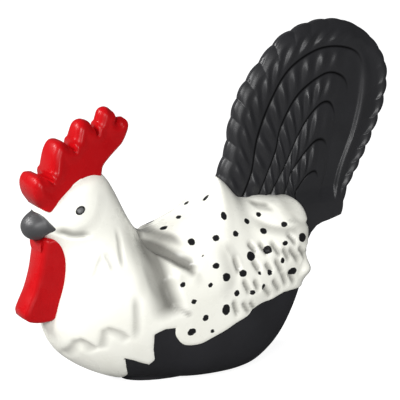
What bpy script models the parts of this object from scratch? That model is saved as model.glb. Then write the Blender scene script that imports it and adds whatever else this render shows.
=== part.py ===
"""A moulded toy rooster that rests on its belly: painted shell halves with plugged-in fittings.

Frame: metres, +Z up. The beak points to -X, the rooster's left side faces -Y, and the mirror plane
of the body is Y = 0. Side-view outlines are drawn in millimetres as (x, z), for a figure of the drawn
length, height and width below, and stretch with the figure's own length, height and width.
"""

import math
from collections import namedtuple

import bmesh
import bpy
import numpy as np
from mathutils import Matrix, Vector

MM = 0.001

# Whole figure
FIGURE_LENGTH = 110.0 * MM
FIGURE_HEIGHT = 89.0 * MM
BODY_WIDTH = 34.4 * MM
DRAWN_LENGTH = 110.0
DRAWN_HEIGHT = 89.0
DRAWN_WIDTH = 34.4
ALONG = FIGURE_LENGTH / DRAWN_LENGTH
UP = FIGURE_HEIGHT / DRAWN_HEIGHT
ACROSS = BODY_WIDTH / DRAWN_WIDTH

# Shells
WALL = 1.6 * MM
THINNEST_WALL = 1.0 * MM
GAP = 0.3 * MM
BELLY_STEP = 0.7 * MM
LAP = 3.0 * MM
RING_COUNT = 72
HALF_SEGMENTS = 26
TUB_RING_COUNT = 50
TUB_HALF_SEGMENTS = 18
DOME_RINGS = 3
FOLD_DEPTH = 1.0 * MM
FOLD_START = 2.0 * MM
FOLD_FADE = 4.0 * MM
DEEPEST_FOLD = 1.3 * MM
WING_GROOVE_DEPTH = 0.6 * MM
WING_GROOVE_REACH = 1.4 * MM

# Tail
TAIL_THICKNESS = 5.2 * MM
TAIL_RELIEF = 0.85 * MM
TAIL_GROOVE_DEPTH = 0.2 * MM
TAIL_RIM_DROP = 0.7 * MM
TAIL_RIM_TAPER = 3.0 * MM
TAIL_EDGE_DROP = 0.5 * MM
TAIL_SCALLOP_DEPTH = 0.9 * MM
TAIL_SCALLOP_LIFT = 0.3
TAIL_SCALLOP_STEPS = 4
TAIL_FEATHER_SLANT = 1.2
LINE_STEPS = 12

# Head fittings
COMB_THICKNESS = 8.4 * MM
COMB_TIP_THICKNESS = 5.0 * MM
COMB_EDGE_RADIUS = 1.3 * MM
WATTLE_THICKNESS = 7.2 * MM
WATTLE_EDGE_RADIUS = 1.0 * MM
BEAK_LENGTH = 6.7 * MM
BEAK_HALF_HEIGHT = 4.1 * MM
BEAK_HALF_WIDTH = 5.0 * MM
EYE_RADIUS = 1.25 * MM
EYE_BULGE = 0.45 * MM
EYE_STEM_RADIUS = 0.6 * MM
EYE_STEM_LENGTH = 3.0 * MM
PEG_RADIUS = 1.4 * MM
PEG_LENGTH = 4.5 * MM
PEG_HOLD = 4.0 * MM

# Base and inner pieces
PLATE_LENGTH = 28.0 * MM
PLATE_WIDTH = 13.0 * MM
PLATE_FLANGE = 1.2 * MM
PLATE_PLUG_DEPTH = 1.5 * MM
PLATE_RIM = 1.8 * MM
WEIGHT_LENGTH = 30.0 * MM
WEIGHT_WIDTH = 20.0 * MM
WEIGHT_HEIGHT = 6.0 * MM
SCREW_SPACING = 15.0 * MM
SCREW_HEAD_RADIUS = 1.9 * MM
SCREW_HEAD_HEIGHT = 1.0 * MM
SCREW_RADIUS = 0.9 * MM
SCREW_LENGTH = 7.0 * MM
SCREW_SLOT_WIDTH = 0.5 * MM
SCREW_SLOT_DEPTH = 0.4 * MM
PIN_RADIUS = 1.25 * MM
PIN_LENGTH = 16.0 * MM
BOSS_RADIUS = 2.6 * MM
DOWEL_RADIUS = 1.0 * MM
DOWEL_REACH = 2.4 * MM

# One cross-section of the body: where it meets the back line and the front line of the side view,
# its greatest half width, and how full its upper and lower halves are (2 is round).
Section = namedtuple("Section", "back front half_width upper lower")

BODY_SECTIONS = (
    Section((-32.8, 58.2), (-45.4, 51.8), 4.4, 2.0, 2.0),
    Section((-30.1, 57.0), (-47.4, 49.6), 6.8, 2.0, 2.0),
    Section((-28.0, 54.9), (-48.0, 46.8), 8.0, 2.0, 2.0),
    Section((-26.3, 52.1), (-47.4, 43.6), 8.7, 2.0, 2.1),
    Section((-24.6, 48.7), (-45.0, 41.0), 8.9, 2.0, 2.1),
    Section((-23.2, 45.8), (-43.2, 38.2), 9.3, 2.0, 2.1),
    Section((-21.8, 43.2), (-42.4, 34.4), 10.3, 2.0, 2.1),
    Section((-20.2, 40.9), (-42.8, 29.6), 11.8, 2.0, 2.1),
    Section((-17.6, 39.3), (-44.4, 23.8), 13.4, 2.0, 2.1),
    Section((-14.2, 38.9), (-45.4, 17.6), 14.8, 2.0, 2.0),
    Section((-10.6, 39.9), (-42.4, 11.0), 15.8, 1.95, 2.0),
    Section((-6.6, 41.5), (-35.4, 5.4), 16.5, 1.9, 2.1),
    Section((-2.6, 43.6), (-26.5, 1.4), 16.9, 1.85, 2.2),
    Section((0.6, 46.2), (-17.0, 0.1), 17.1, 1.75, 2.9),
    Section((3.2, 49.4), (-8.5, -0.45), 17.2, 1.6, 4.2),
    Section((6.2, 49.0), (-1.5, -0.45), 17.2, 1.6, 4.8),
    Section((10.5, 44.8), (5.0, -0.35), 17.0, 1.8, 4.4),
    Section((16.0, 44.4), (11.0, 0.6), 16.2, 2.2, 3.7),
    Section((21.5, 43.6), (17.6, 4.8), 15.0, 2.8, 3.0),
    Section((25.9, 42.0), (22.9, 12.6), 13.0, 3.4, 2.4),
    Section((28.6, 38.2), (26.9, 22.0), 9.4, 3.0, 2.1),
)
CROWN = (-39.2, 56.3)
RUMP = (29.8, 30.0)

# Side-view lines of the paint and part boundaries.
HACKLE_HEM = (
    (-26.0, -6.0), (-26.2, 3.9), (-27.8, 6.8), (-29.1, 10.1), (-27.0, 9.3), (-24.8, 8.2),
    (-22.3, 7.2), (-21.2, 8.6), (-22.1, 12.0), (-22.4, 16.4), (-19.5, 17.5), (-16.5, 17.4),
)
WING_HEM = (
    (-16.5, 17.4), (-16.4, 15.3), (-14.6, 12.8), (-12.5, 11.9), (-9.2, 11.9), (-6.1, 13.0),
    (-2.0, 14.5), (1.0, 15.9), (4.3, 17.2), (6.1, 18.8), (8.9, 19.9), (12.5, 20.3),
    (16.7, 21.3), (22.3, 21.0), (26.0, 20.4), (40.0, 20.4),
)
WING_FRONT = (
    (-16.5, 17.4), (-17.3, 22.0), (-18.7, 26.3), (-19.4, 30.3), (-19.3, 34.3), (-18.4, 38.0), (-17.6, 41.0),
)
TUB_LINE = (
    (-29.5, -6.0), (-29.5, 10.5), (-22.8, 17.6), (-12.0, 17.0), (2.0, 17.5), (10.0, 20.8), (40.0, 21.4),
    (40.0, -16.0), (-29.5, -16.0),
)

# The rim of the fan and the arcs between its rows of feathers, each from the front of the root over
# the top to the rear of the root, and the line that the innermost row folds round.
TAIL_ARCS = (
    (
        (8.0, 41.0), (5.6, 46.0), (4.9, 50.3), (7.5, 57.3), (9.0, 65.1), (12.0, 72.6), (17.7, 79.5),
        (24.6, 85.7), (34.2, 88.7), (44.0, 87.9), (52.0, 82.7), (56.6, 75.0), (56.9, 66.5),
        (53.9, 57.6), (49.4, 48.6), (45.2, 41.1), (42.4, 35.4),
    ),
    (
        (12.2, 36.8), (11.0, 42.0), (12.9, 46.5), (14.7, 51.1), (16.3, 59.8), (20.2, 69.0), (25.8, 76.9),
        (34.4, 81.3), (42.6, 81.2), (48.0, 77.9), (48.9, 69.1), (46.6, 58.7), (42.6, 49.3), (40.8, 42.5),
        (40.3, 34.9),
    ),
    (
        (16.0, 34.0), (15.5, 41.5), (17.5, 45.6), (21.8, 55.1), (23.5, 61.9), (28.7, 69.9), (36.7, 74.5),
        (41.6, 73.8), (44.1, 70.5), (43.9, 63.5), (42.4, 56.0), (40.4, 49.0), (38.9, 43.5), (38.2, 34.4),
    ),
    (
        (20.0, 31.6), (19.5, 41.5), (21.3, 45.3), (24.9, 51.1), (30.1, 60.8), (35.0, 66.1), (38.6, 66.6),
        (40.4, 62.4), (40.2, 55.0), (39.0, 48.0), (37.6, 43.5), (36.4, 34.1),
    ),
    (
        (24.0, 29.9), (23.8, 41.0), (25.3, 44.5), (26.8, 48.9), (30.8, 53.6), (34.4, 56.6), (37.2, 56.2),
        (38.2, 52.5), (37.4, 47.0), (36.2, 43.0), (34.6, 33.4),
    ),
    (
        (28.0, 29.0), (28.0, 42.0), (29.4, 45.0), (32.0, 47.6), (34.4, 48.2), (35.3, 46.0), (34.6, 43.0),
        (32.9, 31.8),
    ),
)
TAIL_CORE = ((31.2, 28.4), (31.4, 42.0), (33.2, 45.4))
# How far along the rim two scallops meet, and the share of the greatest depth they have at a distance.
TAIL_NOTCHES = (
    0.0, 6.0, 11.0, 15.5, 20.0, 26.1, 31.2, 36.5, 42.3, 48.3, 55.0, 60.6, 66.0, 71.1, 76.0, 81.2, 85.6,
    89.5, 94.4, 98.8, 104.2, 109.1, 113.4, 117.4, 121.2, 125.3, 129.6, 133.5,
)
TAIL_SCALLOP_SHARES = (
    (0, 0.33), (12, 0.39), (20, 0.78), (55, 0.78), (64, 0.33), (76, 0.11), (90, 0.33), (104, 1.0),
    (118, 0.67), (133, 0.28),
)
# The feathers between two arcs: how far along the outer arc one has its middle, and their spacing.
TAIL_FEATHERS = {1: (18.9, 5.3), 2: (17.4, 4.3), 3: (18.6, 5.2), 4: (18.0, 4.2)}
# Rows of places across the fan: a whole number is an arc, counted from the rim, and the last is the core.
TAIL_ROWS = (
    0.0, 0.1, 0.3, 0.6, 1.0, 1.3, 1.7, 2.0, 2.3, 2.7, 3.0, 3.3, 3.7, 4.0, 4.3, 4.7, 5.0, 6.0,
)
TAIL_PIN = (19.0, 37.5)

COMB_OUTLINE = (
    (-46.5, 48.5), (-48.9, 50.3), (-50.1, 53.4), (-50.6, 56.6), (-49.4, 58.9), (-47.3, 58.9), (-45.1, 57.2),
    (-45.2, 60.0), (-44.4, 64.2), (-42.9, 66.6), (-40.9, 66.7), (-39.4, 65.4), (-38.2, 63.9),
    (-37.9, 67.0), (-36.8, 70.2), (-35.0, 71.3), (-33.0, 70.7), (-31.9, 69.2), (-31.2, 67.2),
    (-30.8, 70.4), (-29.8, 73.0), (-28.0, 73.7), (-26.4, 72.7), (-25.7, 71.0), (-25.2, 69.6),
    (-24.4, 70.5), (-23.0, 70.4), (-22.2, 68.8), (-22.6, 66.3), (-24.0, 63.6), (-27.2, 60.9),
    (-29.6, 58.6), (-31.0, 55.5), (-38.0, 52.5),
)
COMB_BASE_HEIGHT = 55.0
COMB_TOP_HEIGHT = 73.7
COMB_PEGS = ((-42.2, 55.5), (-34.0, 58.5))
COMB_PEG_AIM = Vector((0.25, 0.0, -1.0))

WATTLE_OUTLINE = (
    (-47.1, 40.6), (-47.7, 37.6), (-48.6, 33.0), (-50.0, 28.6), (-51.6, 25.3), (-52.5, 23.0),
    (-51.8, 21.2), (-49.0, 20.3), (-45.9, 20.6), (-43.4, 22.8), (-39.0, 27.0), (-38.0, 33.0), (-39.0, 40.0),
)
WATTLE_PEGS = ((-46.5, 36.0), (-47.0, 28.0))

BEAK_ROOT = (-44.6, 45.6)
BEAK_PEG = (-47.6, 45.2)
BEAK_DROP = math.radians(14.0)
BEAK_SEAT = ((-49.6, 55.0), (-49.0, 49.9), (-44.3, 44.5), (-47.4, 41.5), (-48.0, 38.0))

EYE_PLACE = (-39.0, 49.7)
DOWELS_HACKLE = ((-36.5, 45.0), (-36.0, 14.5))
DOWELS_SADDLE = ((-8.5, 34.0),)
DOWELS_BELLY = ((18.5, 12.0),)
BASE_X = -9.5 * ALONG


def clear_scene():
    for thing in list(bpy.data.objects):
        bpy.data.objects.remove(thing)


def side_point(pair, y=0.0):
    """A point of the drawn side view, at the figure's length and height."""
    return Vector((pair[0] * ALONG, y, pair[1] * UP))


def drawn(outline):
    """Side-view outline in metres, at the figure's length and height."""
    return [(x * ALONG, z * UP) for x, z in outline]


def spline(values, at):
    """Catmull-Rom value through the list at a fractional place."""
    last = len(values) - 1
    i = min(int(at), last - 1)
    t = at - i
    p1, p2 = values[i], values[i + 1]
    p0 = values[i - 1] if i > 0 else 2 * p1 - p2
    p3 = values[i + 2] if i + 2 <= last else 2 * p2 - p1
    return (
        p1
        + (p2 - p0) * (0.5 * t)
        + (2 * p0 - 5 * p1 + 4 * p2 - p3) * (0.5 * t * t)
        + (3 * p1 - p0 - 3 * p2 + p3) * (0.5 * t * t * t)
    )


def spline_share(values, share):
    return spline(values, share * (len(values) - 1))


def smooth_step(x):
    x = min(1.0, max(0.0, x))
    return x * x * (3 - 2 * x)


# Meshes and Booleans


def finish(bm, name):
    """The bmesh as a named object in the scene."""
    bmesh.ops.recalc_face_normals(bm, faces=bm.faces)
    mesh = bpy.data.meshes.new(name)
    bm.to_mesh(mesh)
    bm.free()
    made = bpy.data.objects.new(name, mesh)
    bpy.context.scene.collection.objects.link(made)
    return made


def combine(target, tool, operation="DIFFERENCE"):
    """Apply a Boolean to the target and drop the tool."""
    modifier = target.modifiers.new("combine", "BOOLEAN")
    modifier.operation = operation
    modifier.solver = "EXACT"
    modifier.object = tool
    with bpy.context.temp_override(object=target, active_object=target, selected_objects=[target]):
        bpy.ops.object.modifier_apply(modifier=modifier.name)
    bpy.data.objects.remove(tool)
    return target


def mirrored(source, name):
    """The right-hand copy of a left-hand piece."""
    bm = bmesh.new()
    bm.from_mesh(source.data)
    bmesh.ops.transform(bm, matrix=Matrix.Scale(-1, 4, (0, 1, 0)), verts=bm.verts)
    bmesh.ops.reverse_faces(bm, faces=bm.faces)
    return finish(bm, name)


def grown(outline, distance):
    """The closed side-view outline (metres) with every side moved outwards."""
    points = [Vector(p) for p in outline]
    count = len(points)
    area = sum(a.x * b.y - b.x * a.y for a, b in zip(points, points[1:] + points[:1]))
    turn = 1 if area > 0 else -1
    moved = []
    for i, point in enumerate(points):
        before = (point - points[i - 1]).normalized()
        after = (points[(i + 1) % count] - point).normalized()
        normal_before = Vector((before.y, -before.x)) * turn
        normal_after = Vector((after.y, -after.x)) * turn
        middle = (normal_before + normal_after).normalized()
        reach = distance / max(0.4, middle.dot(normal_after))
        moved.append(tuple(point + middle * reach))
    return moved


def prism(name, outline, y0, y1):
    """A straight-sided block with the side-view outline (metres), from y0 to y1."""
    bm = bmesh.new()
    face = bm.faces.new([bm.verts.new((x, y0, z)) for x, z in outline])
    made = bmesh.ops.extrude_face_region(bm, geom=[face])
    verts = [v for v in made["geom"] if isinstance(v, bmesh.types.BMVert)]
    bmesh.ops.translate(bm, vec=(0, y1 - y0, 0), verts=verts)
    return finish(bm, name)


def left_region(name, outline):
    """A block with the side-view outline that takes in the left half and just passes the seam."""
    return prism(name, outline, -BODY_WIDTH, GAP)


def rod(name, start, end, radius, segments=14):
    """A round rod between two points."""
    bm = bmesh.new()
    axis = end - start
    turn = Vector((0, 0, 1)).rotation_difference(axis).to_matrix().to_4x4()
    place = Matrix.Translation((start + end) / 2) @ turn
    bmesh.ops.create_cone(
        bm,
        cap_ends=True,
        segments=segments,
        radius1=radius,
        radius2=radius,
        depth=axis.length,
        matrix=place,
    )
    return finish(bm, name)


def oval_block(name, length, width, z0, z1, centre_x, segments=28):
    """An upright oval block."""
    bm = bmesh.new()
    loop = []
    for i in range(segments):
        angle = 2 * math.pi * i / segments
        loop.append(bm.verts.new((centre_x + length / 2 * math.cos(angle), width / 2 * math.sin(angle), z0)))
    face = bm.faces.new(loop)
    made = bmesh.ops.extrude_face_region(bm, geom=[face])
    verts = [v for v in made["geom"] if isinstance(v, bmesh.types.BMVert)]
    bmesh.ops.translate(bm, vec=(0, 0, z1 - z0), verts=verts)
    return finish(bm, name)


# Body skin


def body_rings(inset, count):
    """Rings (back, front, half width, upper, lower) from crown to rump, drawn in by the inset."""
    backs = [side_point(s.back) for s in BODY_SECTIONS]
    fronts = [side_point(s.front) for s in BODY_SECTIONS]
    widths = [s.half_width * ACROSS for s in BODY_SECTIONS]
    uppers = [s.upper for s in BODY_SECTIONS]
    lowers = [s.lower for s in BODY_SECTIONS]
    columns = (backs, fronts, widths, uppers, lowers)
    rings = []
    for i in range(count):
        back, front, width, upper, lower = (spline_share(column, i / (count - 1)) for column in columns)
        across = (back - front).normalized() * inset
        rings.append((back - across, front + across, width - inset, upper, lower))
    crown = pole_towards(CROWN, rings[0], inset)
    rump = pole_towards(RUMP, rings[-1], inset)
    return crown, rump, dome(crown, rings[0]) + rings + dome(rump, rings[-1])[::-1]


def pole_towards(pair, ring, inset):
    """The end of the skin, drawn in towards the ring next to it."""
    pole = side_point(pair)
    centre = (ring[0] + ring[1]) / 2
    return pole + (centre - pole).normalized() * inset


def dome(pole, ring):
    """Rings that round the body off from its pole to the ring next to it."""
    back, front, width, upper, lower = ring
    centre = (back + front) / 2
    half = (back - front) / 2
    rings = []
    for i in range(1, DOME_RINGS + 1):
        angle = math.pi / 2 * i / (DOME_RINGS + 1)
        middle = pole.lerp(centre, 1 - math.cos(angle))
        size = math.sin(angle)
        rings.append((middle + half * size, middle - half * size, width * size, upper, lower))
    return rings


def half_ring(ring, segments):
    """The left half of one ring, from the back line down to the front line."""
    back, front, width, upper, lower = ring
    centre = (back + front) / 2
    half = (back - front) / 2
    points = []
    for j in range(segments + 1):
        angle = math.pi * j / segments
        c, s = math.cos(angle), max(0.0, math.sin(angle))
        power = 2 / (upper if c > 0 else lower)
        along = math.copysign(abs(c) ** power, c)
        points.append(centre + half * along + Vector((0, -width * s ** power, 0)))
    return points


def left_skin(name, inset, count, segments, relief=None):
    """The left half of the body skin as a closed solid, flat on the seam plane."""
    crown, rump, rings = body_rings(inset, count)
    rows = [half_ring(ring, segments) for ring in rings]
    bm = bmesh.new()
    grid = [[bm.verts.new(p) for p in row] for row in rows]
    first, last = bm.verts.new(crown), bm.verts.new(rump)
    for row, following in zip(grid, grid[1:]):
        for j in range(segments):
            bm.faces.new((row[j], row[j + 1], following[j + 1], following[j]))
    for j in range(segments):
        bm.faces.new((first, grid[0][j + 1], grid[0][j]))
        bm.faces.new((last, grid[-1][j], grid[-1][j + 1]))
    if relief:
        raise_relief(bm, relief)
    for v in bm.verts:
        v.co.y = min(v.co.y, -GAP / 2)
    edge = [first] + [row[0] for row in grid] + [last] + [row[-1] for row in grid][::-1]
    for v in edge:
        v.co.y = -GAP / 2
    bm.faces.new(edge)
    return finish(bm, name)


def raise_relief(bm, relief):
    """Move every vertex along its normal by the relief at its place."""
    bmesh.ops.recalc_face_normals(bm, faces=bm.faces)
    bm.normal_update()
    steps = [(v, v.normal * relief(v.co)) for v in bm.verts]
    for v, step in steps:
        v.co += step


def full_skin(name, inset, relief=None, count=30, segments=12):
    """The whole closed body skin at a depth, used to hollow and trim the shells."""
    crown, rump, rings = body_rings(inset, count)
    bm = bmesh.new()
    grid = []
    for ring in rings:
        left = half_ring(ring, segments)
        right = [Vector((p.x, -p.y, p.z)) for p in left[1:-1]][::-1]
        grid.append([bm.verts.new(p) for p in left + right])
    first, last = bm.verts.new(crown), bm.verts.new(rump)
    around = 2 * segments
    for row, following in zip(grid, grid[1:]):
        for j in range(around):
            k = (j + 1) % around
            bm.faces.new((row[j], row[k], following[k], following[j]))
    for j in range(around):
        k = (j + 1) % around
        bm.faces.new((first, grid[0][k], grid[0][j]))
        bm.faces.new((last, grid[-1][j], grid[-1][k]))
    if relief:
        raise_relief(bm, relief)
    return finish(bm, name)


# Relief of the plumage: one stroke is (points, half width, height), drawn like the outlines

FOLDS = (
    (((-20.4, 42.5), (-19.5, 37.0), (-19.2, 31.0), (-18.0, 26.5)), 6.0, -0.9),
    (((-20.6, 40.6), (-16.8, 36.0), (-11.2, 32.2), (-9.5, 29.8)), 3.0, -0.7),
    (((-14.0, 29.5), (-12.0, 25.0), (-10.5, 20.0)), 4.0, 0.5),
    (((-27.4, 28.5), (-27.8, 15.0)), 2.6, -0.5),
    (((-29.2, 44.5), (-29.3, 34.0)), 2.6, -0.4),
    (((-46.0, 45.0), (-42.5, 43.4), (-35.5, 43.4)), 2.6, -0.7),
    (((-2.9, 40.1), (-0.4, 32.2), (0.0, 26.9), (-5.8, 22.3)), 3.6, -0.4),
    (((9.0, 41.6), (14.0, 38.9), (19.5, 37.4), (26.0, 37.0)), 3.0, -0.6),
    (((22.5, 27.0), (25.5, 25.2), (28.5, 22.6)), 3.4, 1.2),
)
# Grooves between the wing's feathers: start and end of each, all of one width and depth.
WING_GROOVES = (
    ((6.4, 36.0), (8.8, 32.8)), ((9.7, 35.6), (12.0, 31.8)), ((13.0, 35.4), (15.8, 30.8)),
    ((16.2, 33.6), (18.4, 29.2)), ((17.8, 33.4), (22.2, 27.8)), ((18.4, 36.8), (21.2, 32.9)),
    ((21.2, 32.9), (24.8, 28.6)), ((1.4, 33.6), (2.4, 28.6)), ((6.6, 31.8), (8.8, 27.8)),
    ((10.4, 30.6), (12.4, 27.0)), ((13.2, 31.0), (14.7, 28.5)), ((14.7, 28.5), (17.2, 22.6)),
    ((3.0, 27.6), (5.2, 22.6)), ((5.6, 26.8), (7.2, 22.8)), ((9.2, 24.6), (11.9, 20.8)),
    ((12.2, 26.0), (15.1, 21.4)), ((-0.2, 22.6), (1.5, 17.2)), ((2.4, 21.2), (4.4, 17.9)),
    ((17.4, 27.4), (20.4, 22.4)),
)


def segment_distance(p, a, b):
    """How far a side-view point lies from a straight piece of line."""
    ab = b - a
    t = max(0.0, min(1.0, (p - a).dot(ab) / ab.length_squared))
    return (p - a - ab * t).length


def plumage(point):
    """How much the skin is raised or sunk at a point."""
    p = Vector((point.x / ALONG, point.z / UP))
    height = 0.0
    for line, width, depth in FOLDS:
        corners = [Vector(c) for c in line]
        distance = min(segment_distance(p, a, b) for a, b in zip(corners, corners[1:]))
        height += depth * FOLD_DEPTH * smooth_step(1 - distance / width)
    for start, end in WING_GROOVES:
        distance = segment_distance(p, Vector(start), Vector(end))
        height -= WING_GROOVE_DEPTH * smooth_step(1 - distance * MM / WING_GROOVE_REACH)
    return max(-DEEPEST_FOLD, height) * smooth_step((abs(point.y) - FOLD_START) / FOLD_FADE)


def hollow(point):
    """How much the inner face of the white shells follows the deepest folds, to keep the wall."""
    return min(0.0, plumage(point) + WALL - THINNEST_WALL)


# Shell halves


def hackle_outline():
    """Side-view outline of the white head, neck and breast shell."""
    seam = [(x - GAP / 2, z) for x, z in drawn(WING_FRONT)]
    hem = drawn(HACKLE_HEM)
    top, front = 2 * FIGURE_HEIGHT, -FIGURE_LENGTH
    return hem[:-1] + seam + [(seam[-1][0], top), (front, top), (front, hem[0][1])]


def saddle_outline():
    """Side-view outline of the speckled back and wing shell."""
    seam = [(x + GAP / 2, z) for x, z in drawn(WING_FRONT)]
    hem = drawn(WING_HEM[1:])
    top = 2 * FIGURE_HEIGHT
    return seam[::-1] + hem + [(hem[-1][0], top), (seam[-1][0], top)]


def covered_outline():
    """Everything that the two white shells cover, in the side view."""
    hem = drawn(HACKLE_HEM + WING_HEM[1:])
    top, front = 2 * FIGURE_HEIGHT, -FIGURE_LENGTH
    return hem + [(hem[-1][0], top), (front, top), (front, hem[0][1])]


def tub_outline():
    """Side-view outline of the belly tub, which laps under the white shells."""
    return grown(drawn(TUB_LINE), LAP)


def hackle_shell(name):
    shell = left_skin(name, 0.0, RING_COUNT, HALF_SEGMENTS, plumage)
    combine(shell, full_skin("inner", WALL, hollow))
    combine(shell, left_region("region", hackle_outline()), "INTERSECT")
    return shell


def saddle_shell(name):
    shell = left_skin(name, 0.0, RING_COUNT, HALF_SEGMENTS, plumage)
    combine(shell, full_skin("inner", WALL, hollow))
    combine(shell, left_region("region", saddle_outline()), "INTERSECT")
    combine(shell, tail_slot())
    return shell


def belly_shell(name):
    shell = left_skin(name, BELLY_STEP, TUB_RING_COUNT, TUB_HALF_SEGMENTS)
    combine(shell, full_skin("inner", BELLY_STEP + WALL + GAP))
    covered = left_region("covered", grown(covered_outline(), GAP))
    combine(covered, full_skin("core", WALL + GAP))
    combine(shell, covered)
    combine(shell, left_region("tub", tub_outline()), "INTERSECT")
    return shell


def tail_slot():
    """The space in the back that the tail root stands in."""
    outline = grown(tail_outline(), GAP + TAIL_SCALLOP_LIFT * TAIL_SCALLOP_DEPTH)
    reach = TAIL_THICKNESS / 2 + GAP
    return prism("slot", outline, -reach, reach)


# Tail


def smooth_line(pairs):
    """Drawn places close together on the smooth line through the pairs, and how far along each one is."""
    points = [Vector(pair) for pair in pairs]
    steps = LINE_STEPS * (len(points) - 1)
    line = [spline_share(points, i / steps) for i in range(steps + 1)]
    run = [0.0]
    for a, b in zip(line, line[1:]):
        run.append(run[-1] + (b - a).length)
    return line, run


def places_along(pairs, shares):
    """Places at shares of the length of the smooth line, at the figure's length and height."""
    line, run = smooth_line(pairs)
    goals = [share * run[-1] for share in shares]
    along = np.interp(goals, run, [p.x for p in line])
    up = np.interp(goals, run, [p.y for p in line])
    return [side_point((float(x), float(z))) for x, z in zip(along, up)]


def line_length(pairs):
    """Length in drawn millimetres of the smooth line through the pairs."""
    return smooth_line(pairs)[1][-1]


TAIL_LENGTHS = [line_length(arc) for arc in TAIL_ARCS]


def tail_outline():
    """Side-view outline of the fan and its root, without the scallops."""
    steps = 2 * len(TAIL_ARCS[0])
    rim = places_along(TAIL_ARCS[0], [i / steps for i in range(steps + 1)])
    rear = [side_point(arc[-1]) for arc in TAIL_ARCS[1:]]
    front = [side_point(arc[0]) for arc in TAIL_ARCS[:0:-1]]
    return [(p.x, p.z) for p in rim + rear + [side_point(TAIL_CORE[0])] + front]


def tail_shares():
    """Where the columns stand as shares of an arc's length: a few of them to each scallop."""
    count = len(TAIL_NOTCHES)
    ranks = [i / TAIL_SCALLOP_STEPS for i in range(TAIL_SCALLOP_STEPS * (count - 1) + 1)]
    at = np.interp(ranks, range(count), TAIL_NOTCHES)
    return [float(x) / TAIL_NOTCHES[-1] for x in at]


def notch_rank(along):
    """How many scallops lie before a distance along the rim."""
    return float(np.interp(along, TAIL_NOTCHES, range(len(TAIL_NOTCHES))))


def scalloped(rim, shares):
    """The rim's places moved out and in, so that it runs in scallops."""
    moved = []
    for i, (place, share) in enumerate(zip(rim, shares)):
        ahead = rim[min(i + 1, len(rim) - 1)] - rim[max(i - 1, 0)]
        outward = Vector((-ahead.z, 0.0, ahead.x)).normalized()
        along = share * TAIL_LENGTHS[0]
        depth = TAIL_SCALLOP_DEPTH * float(np.interp(along, *zip(*TAIL_SCALLOP_SHARES)))
        wave = abs(math.sin(math.pi * notch_rank(along))) ** 0.8
        moved.append(place + outward * depth * (wave - 1 + TAIL_SCALLOP_LIFT))
    return moved


def swell(x, centre, reach):
    """A soft hump of height 1 round the centre."""
    return smooth_step(1 - abs(x - centre) / reach)


def feather_height(share, row):
    """How full a feather is at a place, from 0 in the grooves to 1 on its middle."""
    band = min(int(row), len(TAIL_ARCS) - 1)
    across = row - band
    along = share * TAIL_LENGTHS[band]
    if band == 0:
        rank = notch_rank(along) + TAIL_FEATHER_SLANT * across
        across = min(1.0, max(0.0, (across - 0.25) / 0.7))
    elif band in TAIL_FEATHERS:
        middle, spacing = TAIL_FEATHERS[band]
        rank = (along - middle) / spacing + 0.5
    else:
        return 0.0
    front = 1 - smooth_step((share - 0.46) / 0.14)
    return abs(math.sin(math.pi * rank)) ** 1.1 * math.sin(math.pi * across) * front


def rear_height(share, row):
    """The roll along the rear edge and the gutters beside it, where the front has its feathers."""
    roll = swell(row, 0.58, 0.36) + 0.4 * swell(row, 1.45, 0.4)
    gutter = 0.6 * swell(row, 1.0, 0.28)
    flat = 0.25 * smooth_step((row - 1.6) / 0.4) * (1 - smooth_step((row - 3.6) / 0.8))
    return (roll - gutter - flat) * smooth_step((share - 0.55) / 0.12)


def tail_half_thickness(share, row, rim_gap, height):
    """Half the thickness of the fan: its relief, its thinner rim and its flat root."""
    full = TAIL_THICKNESS / 2
    half = full - TAIL_RELIEF * (1 - feather_height(share, row) - rear_height(share, row))
    half -= TAIL_RIM_DROP * (1 - smooth_step(rim_gap / TAIL_RIM_TAPER))
    half -= TAIL_EDGE_DROP * (row == 0)
    half -= TAIL_GROOVE_DEPTH * (row > 0 and row == int(row))
    return full + (half - full) * smooth_step((height / UP / MM - 39.0) / 5.0)


def tail_lines():
    """The columns' shares, and the places along the scalloped rim, the arcs and the core, there and back."""
    shares = tail_shares()
    lines = [places_along(arc, shares) for arc in TAIL_ARCS]
    lines[0] = scalloped(lines[0], shares)
    steps = len(shares) // 2
    core = places_along(TAIL_CORE, [i / steps for i in range(steps + 1)])
    return shares, lines + [core + core[-2::-1]]


def tail_row(bm, row, sign, shares, lines):
    """Vertices of one row on one side of the fan."""
    band = min(int(row), len(TAIL_ARCS) - 1)
    across = row - band
    verts = []
    for share, outer, inner in zip(shares, lines[band], lines[band + 1]):
        place = outer.lerp(inner, across)
        rim_gap = (inner - outer).length * across if band == 0 else FIGURE_LENGTH
        half = tail_half_thickness(share, row, rim_gap, place.z)
        verts.append(bm.verts.new((place.x, sign * half, place.z)))
    return verts


def folded(bm, line):
    """The core's row as it is used there and back, with one vertex for each pair of places."""
    half = len(line) // 2
    for v in line[half + 1 :]:
        bm.verts.remove(v)
    return line[: half + 1] + line[half - 1 :: -1] if half else line


def make_tail():
    """The fan: rows of feathers in nested arcs, a scalloped rim and a flat root with the pin's hole."""
    bm = bmesh.new()
    shares, lines = tail_lines()
    outlines = []
    for sign in (-1, 1):
        grid = [tail_row(bm, row, sign, shares, lines) for row in TAIL_ROWS]
        grid[-1] = folded(bm, grid[-1])
        for line, following in zip(grid, grid[1:]):
            for j in range(len(shares) - 1):
                bm.faces.new((line[j], line[j + 1], following[j + 1], following[j]))
        rear = [line[-1] for line in grid[1:]]
        front = [line[0] for line in grid[-2:0:-1]]
        outlines.append(grid[0] + rear + front)
    near, far = outlines
    for k in range(len(near)):
        after = (k + 1) % len(near)
        bm.faces.new((near[k], near[after], far[after], far[k]))
    tail = finish(bm, "tail")
    combine(tail, pin_rod("hole", PIN_RADIUS + GAP, 2 * TAIL_THICKNESS))
    return tail


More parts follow.
